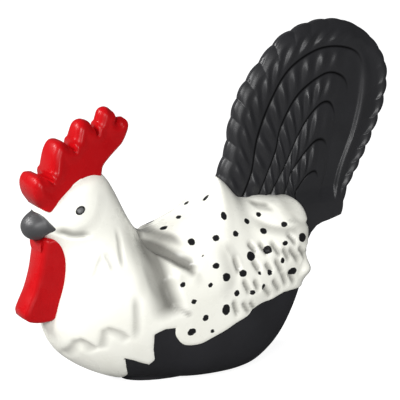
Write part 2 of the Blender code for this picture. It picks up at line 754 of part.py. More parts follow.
def pin_rod(name, radius, length):
    """A rod across the tail root."""
    return rod(name, side_point(TAIL_PIN, -length / 2), side_point(TAIL_PIN, length / 2), radius)


# Head fittings


def cushion(name, outline, half_thickness, radius, steps=2):
    """A flat piece with rounded edges; half_thickness(height) may vary evenly up it."""
    bm = bmesh.new()
    levels = []
    for sign in (-1, 1):
        for k in range(steps + 1) if sign < 0 else range(steps, -1, -1):
            angle = math.pi / 2 * k / steps
            inset = radius * (1 - math.sin(angle))
            drop = radius * (1 - math.cos(angle))
            loop = []
            for x, z in grown(outline, -inset):
                half = half_thickness(z) - drop
                loop.append(bm.verts.new((x, sign * half, z)))
            levels.append(loop)
    count = len(outline)
    for level, following in zip(levels, levels[1:]):
        for i in range(count):
            j = (i + 1) % count
            bm.faces.new((level[i], level[j], following[j], following[i]))
    bm.faces.new(levels[0])
    bm.faces.new(levels[-1])
    return finish(bm, name)


def comb_half_thickness(height):
    share = (height / UP - COMB_BASE_HEIGHT) / (COMB_TOP_HEIGHT - COMB_BASE_HEIGHT)
    return (COMB_THICKNESS + (COMB_TIP_THICKNESS - COMB_THICKNESS) * share) / 2


def comb_peg_rods(clearance):
    """Pegs down into the crown, for the comb itself or for its holes."""
    pegs = []
    for x, z in COMB_PEGS:
        top = side_point((x, z))
        bottom = top + COMB_PEG_AIM.normalized() * (PEG_LENGTH + PEG_HOLD + clearance)
        pegs.append(rod("peg", top, bottom, PEG_RADIUS + clearance, segments=12))
    return pegs


def make_comb():
    comb = cushion("comb", drawn(COMB_OUTLINE), comb_half_thickness, COMB_EDGE_RADIUS)
    combine(comb, full_skin("head", -GAP))
    combine(comb, beak_blob("seat", GAP))
    for peg in comb_peg_rods(0.0):
        combine(comb, peg, "UNION")
    return comb


def wattle_peg_rods(clearance):
    """Pegs back into the throat."""
    pegs = []
    for pair in WATTLE_PEGS:
        start = side_point(pair)
        end = start + Vector((PEG_LENGTH + PEG_HOLD + clearance, 0, 0))
        pegs.append(rod("peg", start, end, PEG_RADIUS + clearance, segments=12))
    return pegs


def wattle_half_thickness(_height):
    return WATTLE_THICKNESS / 2


def make_wattle():
    wattle = cushion("wattle", drawn(WATTLE_OUTLINE), wattle_half_thickness, WATTLE_EDGE_RADIUS)
    combine(wattle, full_skin("throat", -GAP))
    combine(wattle, beak_blob("seat", GAP))
    for peg in wattle_peg_rods(0.0):
        combine(wattle, peg, "UNION")
    return wattle


def beak_blob(name, clearance):
    """The blunt cone of the beak with its seat planes, grown by a clearance."""
    forward = Vector((-math.cos(BEAK_DROP), 0, -math.sin(BEAK_DROP)))
    up = Vector((-forward.z, 0, forward.x)) * -1
    root = side_point(BEAK_ROOT)
    bm = bmesh.new()
    around, levels = 16, 7
    grid = []
    for i in range(levels):
        angle = math.pi / 2 * i / levels
        reach = math.sin(angle)
        size = math.cos(angle) ** 0.8
        loop = []
        for j in range(around):
            turn = 2 * math.pi * j / around
            centre = root + forward * (reach * (BEAK_LENGTH + clearance))
            rise = up * (math.cos(turn) * size * (BEAK_HALF_HEIGHT + clearance))
            side = Vector((0, math.sin(turn) * size * (BEAK_HALF_WIDTH + clearance), 0))
            loop.append(bm.verts.new(centre + rise + side))
        grid.append(loop)
    tip = bm.verts.new(root + forward * (BEAK_LENGTH + clearance))
    for level, following in zip(grid, grid[1:]):
        for j in range(around):
            k = (j + 1) % around
            bm.faces.new((level[j], level[k], following[k], following[j]))
    for j in range(around):
        bm.faces.new((grid[-1][j], grid[-1][(j + 1) % around], tip))
    bm.faces.new(grid[0])
    blob = finish(bm, name)
    back = [(x + clearance, z) for x, z in drawn(BEAK_SEAT)]
    inside = back[0][0] + 3 * BEAK_LENGTH
    outline = back + [(inside, back[-1][1]), (inside, back[0][1])]
    return combine(blob, prism("behind", outline, -2 * BEAK_HALF_WIDTH, 2 * BEAK_HALF_WIDTH))


def beak_peg_rod(clearance):
    start = side_point(BEAK_PEG)
    end = start + Vector((PEG_LENGTH + BEAK_LENGTH / 2 + clearance, 0, 0))
    return rod("peg", start, end, PEG_RADIUS + clearance, segments=12)


def make_beak():
    beak = beak_blob("beak", 0.0)
    combine(beak, beak_peg_rod(0.0), "UNION")
    return beak


def eye_site():
    """Where the left eye sits on the skin, and the way it looks."""
    rings = body_rings(0.0, RING_COUNT)[2]
    target = side_point(EYE_PLACE)
    best = None
    for i in range(1, len(rings) - 1):
        row = half_ring(rings[i], HALF_SEGMENTS)
        for j in range(2, HALF_SEGMENTS - 1):
            flat = Vector((row[j].x - target.x, 0, row[j].z - target.z)).length
            if best is None or flat < best[0]:
                after = half_ring(rings[i + 1], HALF_SEGMENTS)
                normal = (row[j + 1] - row[j - 1]).cross(after[j] - row[j])
                best = (flat, row[j].y, normal.normalized())
    normal = best[2] if best[2].y < 0 else -best[2]
    return Vector((target.x, best[1], target.z)), normal


def make_eye(name):
    """A lens-shaped bead on a stem that is pushed through the head wall."""
    place, normal = eye_site()
    turn = Vector((0, 0, 1)).rotation_difference(normal).to_matrix().to_4x4()
    bm = bmesh.new()
    bmesh.ops.create_uvsphere(bm, u_segments=12, v_segments=6, radius=1.0)
    bmesh.ops.scale(bm, vec=(EYE_RADIUS, EYE_RADIUS * 0.85, EYE_BULGE), verts=bm.verts)
    lift = Matrix.Translation(place + normal * (EYE_BULGE + GAP * 0.7))
    bmesh.ops.transform(bm, matrix=lift @ turn, verts=bm.verts)
    bead = finish(bm, name)
    start, end = place + normal * EYE_BULGE, place - normal * EYE_STEM_LENGTH
    stem = rod("stem", start, end, EYE_STEM_RADIUS, segments=8)
    return combine(bead, stem, "UNION")


def eye_hole():
    place, normal = eye_site()
    start, end = place + normal * EYE_STEM_LENGTH, place - normal * 2 * EYE_STEM_LENGTH
    return rod("hole", start, end, EYE_STEM_RADIUS + GAP, segments=10)


# Base and inner pieces


def screw_places():
    return [BASE_X - SCREW_SPACING / 2, BASE_X + SCREW_SPACING / 2]


def upright(name, x, low, high, radius, segments=14):
    """A round upright rod on the mirror plane."""
    return rod(name, Vector((x, 0, low)), Vector((x, 0, high)), radius, segments=segments)


def base_block(name, shrink, low, high):
    """An oval block in the plan of the base plate, drawn in all round."""
    return oval_block(name, PLATE_LENGTH - 2 * shrink, PLATE_WIDTH - 2 * shrink, low, high, BASE_X)


def base_cutter():
    """The seat of the base plate in the belly: a recess for its flange and a hole for its plug."""
    flange = base_block("flange", -GAP, -PLATE_FLANGE, PLATE_FLANGE + GAP)
    through = PLATE_FLANGE + PLATE_PLUG_DEPTH + 3 * WALL
    return combine(flange, base_block("plug", PLATE_RIM - GAP, 0.0, through), "UNION")


def make_base_plate():
    plate = base_block("base_plate", 0.0, 0.0, PLATE_FLANGE)
    plug = base_block("plug", PLATE_RIM, PLATE_FLANGE / 2, PLATE_FLANGE + PLATE_PLUG_DEPTH)
    combine(plate, plug, "UNION")
    sink = SCREW_HEAD_HEIGHT + 2 * GAP
    for x in screw_places():
        combine(plate, upright("hole", x, -PLATE_FLANGE, SCREW_LENGTH, SCREW_RADIUS + GAP))
        combine(plate, upright("sink", x, -PLATE_FLANGE, sink, SCREW_HEAD_RADIUS + GAP))
    return plate


def make_base_screw(name, x):
    """A flat-headed screw, set just inside the resting face."""
    low = GAP
    head = upright(name, x, low, low + SCREW_HEAD_HEIGHT, SCREW_HEAD_RADIUS, segments=18)
    shank = upright("shank", x, low + SCREW_HEAD_HEIGHT / 2, low + SCREW_LENGTH, SCREW_RADIUS)
    combine(head, shank, "UNION")
    bm = bmesh.new()
    bmesh.ops.create_cube(bm, size=1.0)
    slot = (SCREW_HEAD_RADIUS * 3, SCREW_SLOT_WIDTH, 2 * SCREW_SLOT_DEPTH)
    bmesh.ops.scale(bm, vec=slot, verts=bm.verts)
    bmesh.ops.translate(bm, vec=(x, 0, low), verts=bm.verts)
    combine(head, finish(bm, "slot"))
    return head


def make_weight():
    """The iron weight that the plate is screwed to, shaped to the tub's inside."""
    floor = PLATE_FLANGE + PLATE_PLUG_DEPTH + 2 * GAP
    weight = oval_block("weight", WEIGHT_LENGTH, WEIGHT_WIDTH, floor, floor + WEIGHT_HEIGHT, BASE_X)
    combine(weight, full_skin("room", BELLY_STEP + WALL + 2 * GAP), "INTERSECT")
    for x in screw_places():
        combine(weight, upright("hole", x, 0.0, SCREW_LENGTH + 2 * GAP, SCREW_RADIUS + GAP))
    return weight


def boss(place, reach, inset, radius):
    """A post from the wall of the left half to a plane near the seam."""
    post = rod("boss", side_point(place, -BODY_WIDTH), side_point(place, -reach), radius)
    return combine(post, full_skin("wall", inset + WALL / 2), "INTERSECT")


def add_dowels(left, right, places, inset):
    """Posts in both halves: the left ones carry dowels that enter holes in the right ones."""
    flip = Matrix.Scale(-1, 4, (0, 1, 0))
    for place in places:
        combine(left, boss(place, GAP / 2, inset, BOSS_RADIUS), "UNION")
        post = boss(place, GAP / 2, inset, BOSS_RADIUS)
        post.data.transform(flip)
        post.data.flip_normals()
        combine(right, post, "UNION")
        start, end = side_point(place, -DOWEL_REACH / 2), side_point(place, DOWEL_REACH)
        combine(left, rod("dowel", start, end, DOWEL_RADIUS, segments=10), "UNION")
        hole_end = side_point(place, DOWEL_REACH + GAP)
        combine(right, rod("hole", start, hole_end, DOWEL_RADIUS + GAP, segments=10))


def add_pin_posts(left):
    """A socket post for the end of the tail pin."""
    combine(left, boss(TAIL_PIN, TAIL_THICKNESS / 2 + GAP, 0.0, BOSS_RADIUS), "UNION")
    reach = PIN_LENGTH / 2 + GAP
    combine(left, rod("socket", side_point(TAIL_PIN, -reach), side_point(TAIL_PIN, 0.0), PIN_RADIUS + GAP))


# Materials


def paint(name, colour, roughness, metallic=0.0):
    material = bpy.data.materials.new(name)
    material.use_nodes = True
    shader = material.node_tree.nodes["Principled BSDF"]
    shader.inputs["Base Color"].default_value = (*colour, 1.0)
    shader.inputs["Roughness"].default_value = roughness
    shader.inputs["Metallic"].default_value = metallic
    return material


def dress(thing, material, smooth_angle=40.0):
    thing.data.materials.clear()
    thing.data.materials.append(material)
    for polygon in thing.data.polygons:
        polygon.material_index = 0
    thing.data.shade_smooth()
    thing.data.set_sharp_from_angle(angle=math.radians(smooth_angle))


def build_hackle():
    left = hackle_shell("hackle_left")
    combine(left, eye_hole())
    combine(left, beak_blob("seat", GAP))
    for tool in comb_peg_rods(GAP) + wattle_peg_rods(GAP) + [beak_peg_rod(GAP)]:
        combine(left, tool)
    right = mirrored(left, "hackle_right")
    add_dowels(left, right, DOWELS_HACKLE, 0.0)
    return left, right


def build_saddle():
    left = saddle_shell("saddle_left")
    add_pin_posts(left)
    right = mirrored(left, "saddle_right")
    add_dowels(left, right, DOWELS_SADDLE, 0.0)
    return left, right


def build_belly():
    left = belly_shell("belly_left")
    combine(left, base_cutter())
    right = mirrored(left, "belly_right")
    add_dowels(left, right, DOWELS_BELLY, BELLY_STEP + GAP)
    return left, right


def centre_on_footprint():
    """Bring the middle of the bounding box over the origin, standing on z = 0."""
    things = [thing for thing in bpy.data.objects if thing.type == "MESH"]
    corners = [thing.matrix_world @ v.co for thing in things for v in thing.data.vertices]
    middle_x = (min(c.x for c in corners) + max(c.x for c in corners)) / 2
    floor = min(c.z for c in corners)
    for thing in things:
        thing.location.x -= middle_x
        thing.location.z -= floor


def main():
    clear_scene()
    white = paint("white_paint", (0.86, 0.86, 0.82), 0.35)
    speckled = paint("speckled_white_paint", (0.84, 0.84, 0.8), 0.35)
    black = paint("black_paint", (0.03, 0.03, 0.035), 0.6)
    tail_black = paint("tail_black_paint", (0.035, 0.035, 0.04), 0.3)
    red = paint("red_paint", (0.7, 0.01, 0.02), 0.3)
    grey = paint("beak_grey_paint", (0.06, 0.055, 0.06), 0.35)
    steel = paint("steel", (0.55, 0.55, 0.56), 0.35, 1.0)
    iron = paint("iron", (0.12, 0.12, 0.12), 0.7, 0.8)

    for shell in build_hackle():
        dress(shell, white)
    for shell in build_saddle():
        dress(shell, speckled)
    for shell in build_belly():
        dress(shell, black)
    dress(make_tail(), tail_black)
    dress(pin_rod("tail_pin", PIN_RADIUS, PIN_LENGTH), steel)
    dress(make_comb(), red)
    dress(make_wattle(), red)
    dress(make_beak(), grey)
    eye = make_eye("eye_left")
    dress(eye, grey)
    dress(mirrored(eye, "eye_right"), grey)
    dress(make_base_plate(), black)
    for name, x in zip(("base_screw_front", "base_screw_rear"), screw_places()):
        dress(make_base_screw(name, x), steel)
    dress(make_weight(), iron)
    centre_on_footprint()


main()
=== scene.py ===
# %% [markdown]
# # A moulded toy rooster, dressed for its picture
# The figure is a painted casting about 110 mm long: white head and wings over a black belly, a black
# tail fan, a red comb and wattle and a grey beak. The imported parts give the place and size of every
# piece. This script gives them their fine surface, so it starts by loading those parts. The drawing
# below has its own zero along x, so the middle of the base plate is used to line the two up.

# %% Load the frame
import math
from contextlib import contextmanager

import bmesh
import bpy
import numpy as np
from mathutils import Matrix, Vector
from mathutils.bvhtree import BVHTree


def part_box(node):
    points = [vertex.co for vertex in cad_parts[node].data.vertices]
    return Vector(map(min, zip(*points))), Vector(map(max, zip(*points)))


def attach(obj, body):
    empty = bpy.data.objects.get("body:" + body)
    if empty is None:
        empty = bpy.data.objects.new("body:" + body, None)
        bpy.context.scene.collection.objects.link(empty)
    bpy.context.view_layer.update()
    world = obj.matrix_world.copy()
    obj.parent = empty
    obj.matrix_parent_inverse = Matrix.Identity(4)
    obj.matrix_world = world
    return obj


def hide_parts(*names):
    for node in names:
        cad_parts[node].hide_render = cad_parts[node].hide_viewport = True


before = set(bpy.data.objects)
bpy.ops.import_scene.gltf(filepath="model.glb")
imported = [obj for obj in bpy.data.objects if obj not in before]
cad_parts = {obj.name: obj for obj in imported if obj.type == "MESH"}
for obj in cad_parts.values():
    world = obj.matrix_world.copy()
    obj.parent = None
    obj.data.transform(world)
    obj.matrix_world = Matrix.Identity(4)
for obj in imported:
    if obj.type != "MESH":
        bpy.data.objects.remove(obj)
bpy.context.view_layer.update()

MM = 0.001
DRAWN_PLATE_CENTRE = -9.5
plate_low, plate_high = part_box("base_plate")
SHIFT = DRAWN_PLATE_CENTRE * MM - (plate_low.x + plate_high.x) / 2
print(len(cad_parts), "parts; the drawing is shifted by", round(SHIFT / MM, 2), "mm")

# %% [markdown]
# ## Drawing in the side view
# A rooster is easiest to draw from the side: x runs from beak to tail and z is height, both in
# millimetres. Curve objects could hold the lines, but plain numbers are easier to measure a mesh
# against. A smooth line through a few points (Catmull-Rom) replaces a long list of points.


# %% Smooth lines
def side_view(points):
    """Side-view points drawn in millimetres, as an array in metres in the frame."""
    return np.array(points, float) * MM - (SHIFT, 0)


def spline_at(values, at):
    """Catmull-Rom values at fractional places along the list."""
    v = np.vstack([2 * values[0] - values[1], values, 2 * values[-1] - values[-2]])
    i = np.minimum(at.astype(int), len(values) - 2)
    t = (at - i)[:, None]
    a, b, c, d = v[i], v[i + 1], v[i + 2], v[i + 3]
    bend = 2 * a - 5 * b + 4 * c - d
    twist = 3 * b - a - 3 * c + d
    return b + (c - a) * t / 2 + bend * t**2 / 2 + twist * t**3 / 2


def flowing(points, steps=6):
    """A smooth open line through the points."""
    points = np.asarray(points, float)
    return spline_at(points, np.linspace(0, len(points) - 1, (len(points) - 1) * steps + 1))


def closed_flow(points, steps=6):
    """A smooth closed loop through the points, without its first point repeated."""
    points = np.asarray(points, float)
    ring = np.vstack([points[-2:], points, points[:2]])
    return spline_at(ring, np.linspace(2, len(points) + 2, len(points) * steps, endpoint=False))


def length_of(line):
    return float(np.hypot(*np.diff(line, axis=0).T).sum())


def smooth(x):
    """An even rise from 0 to 1 that starts and ends softly."""
    x = np.clip(x, 0, 1)
    return x * x * (3 - 2 * x)


print("a test arch is", round(length_of(flowing([(0, 0), (1, 1), (2, 0)])), 2), "long")

# %% [markdown]
# ## How far, and on which side?
# Every fold, edge and spot on this bird asks two things of a place in the side view: how far is it
# from a line, and is it inside an outline? A loop over all vertices would answer slowly, so both are
# worked out for thousands of places at once.


# %% Distances in the side view
def nearest(places, line):
    """For each place: its distance to the line, how far along that is, and its side (+1 is left)."""
    best = np.full(len(places), np.inf)
    along, side = np.zeros(len(places)), np.ones(len(places))
    start = 0.0
    for a, b in zip(line, line[1:]):
        run = b - a
        length = math.hypot(*run)
        if length == 0:
            continue
        offset = places - a
        share = np.clip(offset @ run / length**2, 0, 1)
        gap = np.hypot(offset[:, 0] - share * run[0], offset[:, 1] - share * run[1])
        near = gap < best
        best[near] = gap[near]
        along[near] = start + share[near] * length
        side[near] = np.where(run[0] * offset[near, 1] - run[1] * offset[near, 0] < 0, -1, 1)
        start += length
    return best, along, side


def inside(places, loop):
    """Which places lie inside the closed loop."""
    x, z = places.T
    within = np.zeros(len(places), bool)
    for (x0, z0), (x1, z1) in zip(loop, np.roll(loop, -1, axis=0)):
        if z0 != z1:
            within ^= ((z0 > z) != (z1 > z)) & (x < x0 + (z - z0) / (z1 - z0) * (x1 - x0))
    return within


def depth_in(places, loop, edge=None):
    """How deep each place lies inside the closed loop, from its edge, in metres; negative outside."""
    edge = np.vstack([loop, loop[:1]]) if edge is None else edge
    gap = nearest(places, edge)[0]
    return np.where(inside(places, loop), gap, -gap)


test_square = np.array([(0.0, 0.0), (2.0, 0.0), (2.0, 2.0), (0.0, 2.0)])
print("the middle of a test square is", depth_in(np.array([(1.0, 1.0)]), test_square)[0], "deep")

# %% [markdown]
# ## Getting at a mesh as numbers
# Sculpted relief is a small shift of each vertex along its normal. Sculpt mode does it by hand and a
# Displace modifier by a texture, but here it follows drawn lines on tens of thousands of vertices.
# So the coordinates are read into one array, changed and written back.


# %% Read and write vertices
def places_of(thing):
    flat = np.empty(len(thing.data.vertices) * 3)
    thing.data.vertices.foreach_get("co", flat)
    return flat.reshape(-1, 3)


def normals_of(thing):
    flat = np.empty(len(thing.data.vertices) * 3)
    thing.data.vertex_normals.foreach_get("vector", flat)
    return flat.reshape(-1, 3)


def put_places(thing, places):
    thing.data.vertices.foreach_set("co", np.ascontiguousarray(places).ravel())
    thing.data.update()


def store(thing, name, values):
    """Keep one number for each vertex, for a material to read."""
    layer = thing.data.attributes.new(name, "FLOAT", "POINT")
    layer.data.foreach_set("value", np.ascontiguousarray(values, np.float32))


print("the base plate has", len(places_of(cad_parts["base_plate"])), "vertices")

# %% [markdown]
# ## Handling pieces
# An operator acts on all that is selected, and a new piece is selected already, so each step starts
# with nothing selected and picks its one piece. Edit mode is entered, used on the whole mesh and left
# in one helper. Another opens the mesh for bmesh, which edits single faces, and writes it back.


# %% Pick, name, edit and apply
def start_alone():
    """Nothing selected, object mode: a clean start for the next operator."""
    if bpy.context.object and bpy.context.object.mode != "OBJECT":
        bpy.ops.object.mode_set(mode="OBJECT")
    bpy.ops.object.select_all(action="DESELECT")


def pick(thing):
    start_alone()
    thing.select_set(True)
    bpy.context.view_layer.objects.active = thing


def name_it(name):
    thing = bpy.context.object
    thing.name = thing.data.name = name
    return thing


def apply_all(thing):
    """Apply the piece's modifiers in order."""
    pick(thing)
    for modifier in list(thing.modifiers):
        bpy.ops.object.modifier_apply(modifier=modifier.name)


def edit_all(thing, *steps):
    """Run edit-mode steps, one after the other, starting with the whole mesh selected."""
    pick(thing)
    bpy.ops.object.mode_set(mode="EDIT")
    bpy.ops.mesh.select_all(action="SELECT")
    for step in steps:
        step()
    bpy.ops.object.mode_set(mode="OBJECT")


def face_outwards():
    bpy.ops.mesh.normals_make_consistent(inside=False)


def merge_within(gap):
    """An edit step that merges vertices no further apart than the gap."""
    return lambda: bpy.ops.mesh.remove_doubles(threshold=gap)


@contextmanager
def opened(thing):
    shape = bmesh.new()
    shape.from_mesh(thing.data)
    yield shape
    shape.to_mesh(thing.data)
    shape.free()


def tell(thing):
    thing.data.calc_loop_triangles()
    size = [round(side / MM, 1) for side in thing.dimensions]
    print(f"{thing.name}: {len(thing.data.loop_triangles)} triangles, {size} mm")


start_alone()
print("selected now:", len(bpy.context.selected_objects))

# %% [markdown]
# ## Cutting a fine mesh along a drawn line
# Deleting the faces beyond a line leaves steps as large as the faces, and a Boolean leaves slivers.
# Instead the vertices near the line are slid onto it, every edge that still crosses it is split where
# it crosses, and only then are the faces beyond it removed. The cut is as smooth as the line.


# %% Trim a mesh where a field falls below zero
PROBE = 0.02 * MM
LEAST_SLOPE = 0.25


def slide_to_level(thing, field, level, reach):
    """Move vertices that lie almost on the level onto it, within the side view."""
    places = places_of(thing)
    flat = places[:, (0, 2)]
    value = field(flat) - level
    near = np.abs(value) < reach
    spots = flat[near]
    slope_x = (field(spots + (PROBE, 0)) - field(spots - (PROBE, 0))) / (2 * PROBE)
    slope_z = (field(spots + (0, PROBE)) - field(spots - (0, PROBE))) / (2 * PROBE)
    steep = np.maximum(slope_x**2 + slope_z**2, LEAST_SLOPE)
    places[near, 0] -= value[near] * slope_x / steep
    places[near, 2] -= value[near] * slope_z / steep
    put_places(thing, places)
    value[near] = 0
    return value


def split_at_level(thing, field, level, reach):
    """Add a row of vertices where the field passes the level."""
    value = slide_to_level(thing, field, level, reach)
    with opened(thing) as shape:
        corners, edges = list(shape.verts), list(shape.edges)
        ends = np.array([(edge.verts[0].index, edge.verts[1].index) for edge in edges])
        first, second = value[ends[:, 0]], value[ends[:, 1]]
        on_level = [corners[i] for i in np.flatnonzero(value == 0)]
        for i in np.flatnonzero(first * second < 0):
            share = first[i] / (first[i] - second[i])
            on_level.append(bmesh.utils.edge_split(edges[i], corners[ends[i, 0]], share)[1])
        bmesh.ops.connect_verts(shape, verts=on_level)


def trim(thing, field, levels, reach):
    """Keep the mesh where the field is positive, with neat rows of vertices along the levels."""
    for level in levels:
        split_at_level(thing, field, level, reach)
    with opened(thing) as shape:
        shape.faces.ensure_lookup_table()
        middles = np.array([tuple(face.calc_center_median()) for face in shape.faces])
        beyond = np.flatnonzero(field(middles[:, (0, 2)]) < 0)
        bmesh.ops.delete(shape, geom=[shape.faces[i] for i in beyond], context="FACES")


print("a field's slope is probed", PROBE / MM, "mm to each side")

# %% [markdown]
# ## Building a material
# A material is a small graph of nodes. Made by hand it is a lot of clicking, and here many finishes
# share the same few links, so each kind of node gets a helper that makes it and wires it up. All
# patterns read Object coordinates, so they stay on the piece wherever it goes.


# %% Node helpers
def node(tree, kind, **settings):
    made = tree.nodes.new(kind)
    for key, value in settings.items():
        if key in made.inputs.keys():
            made.inputs[key].default_value = value
        else:
            setattr(made, key, value)
    return made


def new_material(name):
    material = bpy.data.materials.new(name)
    material.use_nodes = True
    tree = material.node_tree
    shader = tree.nodes["Principled BSDF"]
    place = node(tree, "ShaderNodeTexCoord").outputs["Object"]
    return material, tree, shader, place


def noise(tree, place, size, detail=3.0):
    """Noise whose blotches are about this many metres across."""
    made = node(tree, "ShaderNodeTexNoise", Scale=1 / size, Detail=detail)
    tree.links.new(place, made.inputs["Vector"])
    return made.outputs["Fac"]


def ramp(tree, factor, low, high, low_at=0.35, high_at=0.65):
    made = node(tree, "ShaderNodeValToRGB")
    made.color_ramp.elements[0].position = low_at
    made.color_ramp.elements[1].position = high_at
    made.color_ramp.elements[0].color = (*low, 1)
    made.color_ramp.elements[1].color = (*high, 1)
    tree.links.new(factor, made.inputs["Fac"])
    return made.outputs["Color"]


def grey(value):
    return (value, value, value)


def mix(tree, factor, first, second):
    """Blend two colour outputs, or plain colours, by a factor."""
    made = node(tree, "ShaderNodeMix", data_type="RGBA")
    sockets = (made.inputs["Factor"], made.inputs[6], made.inputs[7])
    for socket, value in zip(sockets, (factor, first, second)):
        if isinstance(value, bpy.types.NodeSocket):
            tree.links.new(value, socket)
        else:
            socket.default_value = value if isinstance(value, float) else (*value, 1)
    return made.outputs[2]


def bumps(tree, shader, heights):
    """Chain bumps, each (height output, strength, depth in metres), into the shader's normal."""
    normal = None
    for height, strength, depth in heights:
        made = node(tree, "ShaderNodeBump", Strength=strength, Distance=depth)
        tree.links.new(height, made.inputs["Height"])
        if normal:
            tree.links.new(normal, made.inputs["Normal"])
        normal = made.outputs["Normal"]
    tree.links.new(normal, shader.inputs["Normal"])


print("half grey is", grey(0.5))

# %% [markdown]
# ## Paint
# Every finish here is brushed or sprayed paint over a smooth casting. A flat colour would look dead,
# so the helper adds what the eye expects: faint cloudy variation, a roughness that wanders a little,
# a slow bump for the uneven casting and a fine one for the skin of the paint.


# %% The paint helper
CLOUD_SIZE, WANDER_SIZE = 9 * MM, 4 * MM
CASTING_SIZE, CASTING_DEPTH = 2.2 * MM, 0.08 * MM
SKIN_SIZE, SKIN_DEPTH = 0.35 * MM, 0.008 * MM
PAINT_BUMP = 0.25


def paint(name, colour, other, rough, gloss, rough_span=0.06):
    """Paint: two close colours in clouds, wandering roughness, slow and fine bump."""
    material, tree, shader, place = new_material(name)
    shader.inputs["Specular IOR Level"].default_value = gloss
    clouds = noise(tree, place, CLOUD_SIZE)
    tree.links.new(ramp(tree, clouds, colour, other), shader.inputs["Base Color"])
    wander = noise(tree, place, WANDER_SIZE)
    rough_ramp = ramp(tree, wander, grey(rough - rough_span), grey(rough + rough_span))
    tree.links.new(rough_ramp, shader.inputs["Roughness"])
    slow, fine = noise(tree, place, CASTING_SIZE, 1.0), noise(tree, place, SKIN_SIZE, 1.0)
    bumps(tree, shader, ((slow, PAINT_BUMP, CASTING_DEPTH), (fine, PAINT_BUMP, SKIN_DEPTH)))
    return material, tree, shader, place


print("paint clouds", CLOUD_SIZE / MM, "mm, skin", SKIN_SIZE / MM, "mm across")

# %% [markdown]
# ## Cross-sections of the body
# The body is one flowing form from the crown over the breast to the rump. Box modelling it would take
# many edits, and its curves would be hard to measure, so it is a loft: cross-sections that lean over
# from the head to the rump. Each has a point on the back line, a point on the front line and a half
# width, and is round (2) or squarer above and below.

# %% Cross-sections of the body
# back x, back z, front x, front z, half width, fullness above, fullness below
SECTIONS = np.array([
    (-32.8, 58.2, -45.4, 51.8, 4.4, 2.0, 2.0),
    (-30.1, 57.0, -47.4, 49.6, 6.8, 2.0, 2.0),
    (-28.0, 54.9, -48.0, 46.8, 8.0, 2.0, 2.0),
    (-26.3, 52.1, -47.4, 43.6, 8.7, 2.0, 2.1),
    (-24.6, 48.7, -45.0, 41.0, 8.9, 2.0, 2.1),
    (-23.2, 45.8, -43.2, 38.2, 9.3, 2.0, 2.1),
    (-21.8, 43.2, -42.4, 34.4, 10.3, 2.0, 2.1),
    (-20.2, 40.9, -42.8, 29.6, 11.8, 2.0, 2.1),
    (-17.6, 39.3, -44.4, 23.8, 13.4, 2.0, 2.1),
    (-14.2, 38.9, -45.4, 17.6, 14.8, 2.0, 2.0),
    (-10.6, 39.9, -42.4, 11.0, 15.8, 1.95, 2.0),
    (-6.6, 41.5, -35.4, 5.4, 16.5, 1.9, 2.1),
    (-2.6, 43.6, -26.5, 1.4, 16.9, 1.85, 2.2),
    (0.6, 46.2, -17.0, 0.1, 17.1, 1.75, 2.9),
    (4.0, 50.4, -8.5, -0.45, 17.2, 1.5, 4.2),
    (6.6, 49.3, -1.5, -0.45, 17.2, 1.5, 4.8),
    (10.5, 44.8, 5.0, -0.35, 17.0, 1.8, 4.4),
    (16.0, 44.4, 11.0, 0.6, 16.2, 2.2, 3.7),
    (21.5, 43.6, 17.6, 4.8, 15.0, 2.8, 3.0),
    (26.2, 42.7, 22.9, 12.6, 13.0, 3.4, 2.4),
    (27.9, 38.6, 26.7, 22.0, 8.8, 3.0, 2.1),
])
CROWN = side_view([(-39.2, 56.3)])[0]
RUMP = side_view([(29.0, 30.6)])[0]
print(len(SECTIONS), "cross-sections, widest", 2 * SECTIONS[:, 4].max(), "mm")

# %% [markdown]
# ## The body, wrapped from a ball
# A ball already has such rings, closed at both ends. So a UV sphere is added with one ring for each
# section, and every ring is laid onto its section. A loft from separate rings would give the same
# form, but its ends would have to be closed by hand.


# %% Lay a ball onto the sections
DOME_ROWS = 12
ROWS_PER_SMOOTHING = 40


def dome_rows(pole, row):
    """Rows that round the body off from its pole to the row next to it."""
    centre, half = (row[0:2] + row[2:4]) / 2, (row[0:2] - row[2:4]) / 2
    rows = []
    for k in range(1, DOME_ROWS + 1):
        angle = math.pi / 2 * k / (DOME_ROWS + 1)
        middle = pole + (centre - pole) * (1 - math.cos(angle))
        size = math.sin(angle)
        rows.append([*(middle + half * size), *(middle - half * size), row[4] * size, row[5], row[6]])
    return rows


def body_rows(inset, count):
    """All rows from crown to rump, drawn in by the inset, with the two poles."""
    table = SECTIONS.copy()
    table[:, :5] *= MM
    table[:, (0, 2)] -= SHIFT
    rows = spline_at(table, np.linspace(0, len(table) - 1, count))
    for _ in range(count // ROWS_PER_SMOOTHING):
        rows[1:-1] = (rows[:-2] + 2 * rows[1:-1] + rows[2:]) / 4
    across = rows[:, 0:2] - rows[:, 2:4]
    across *= inset / np.hypot(*across.T)[:, None]
    rows[:, 0:2] -= across
    rows[:, 2:4] += across
    rows[:, 4] -= inset
    poles = []
    for pole, row in ((CROWN, rows[0]), (RUMP, rows[-1])):
        inward = (row[0:2] + row[2:4]) / 2 - pole
        poles.append(pole + inward * inset / math.hypot(*inward))
    front, rear = dome_rows(poles[0], rows[0]), dome_rows(poles[1], rows[-1])
    return poles, np.vstack([front, rows, rear[::-1]])


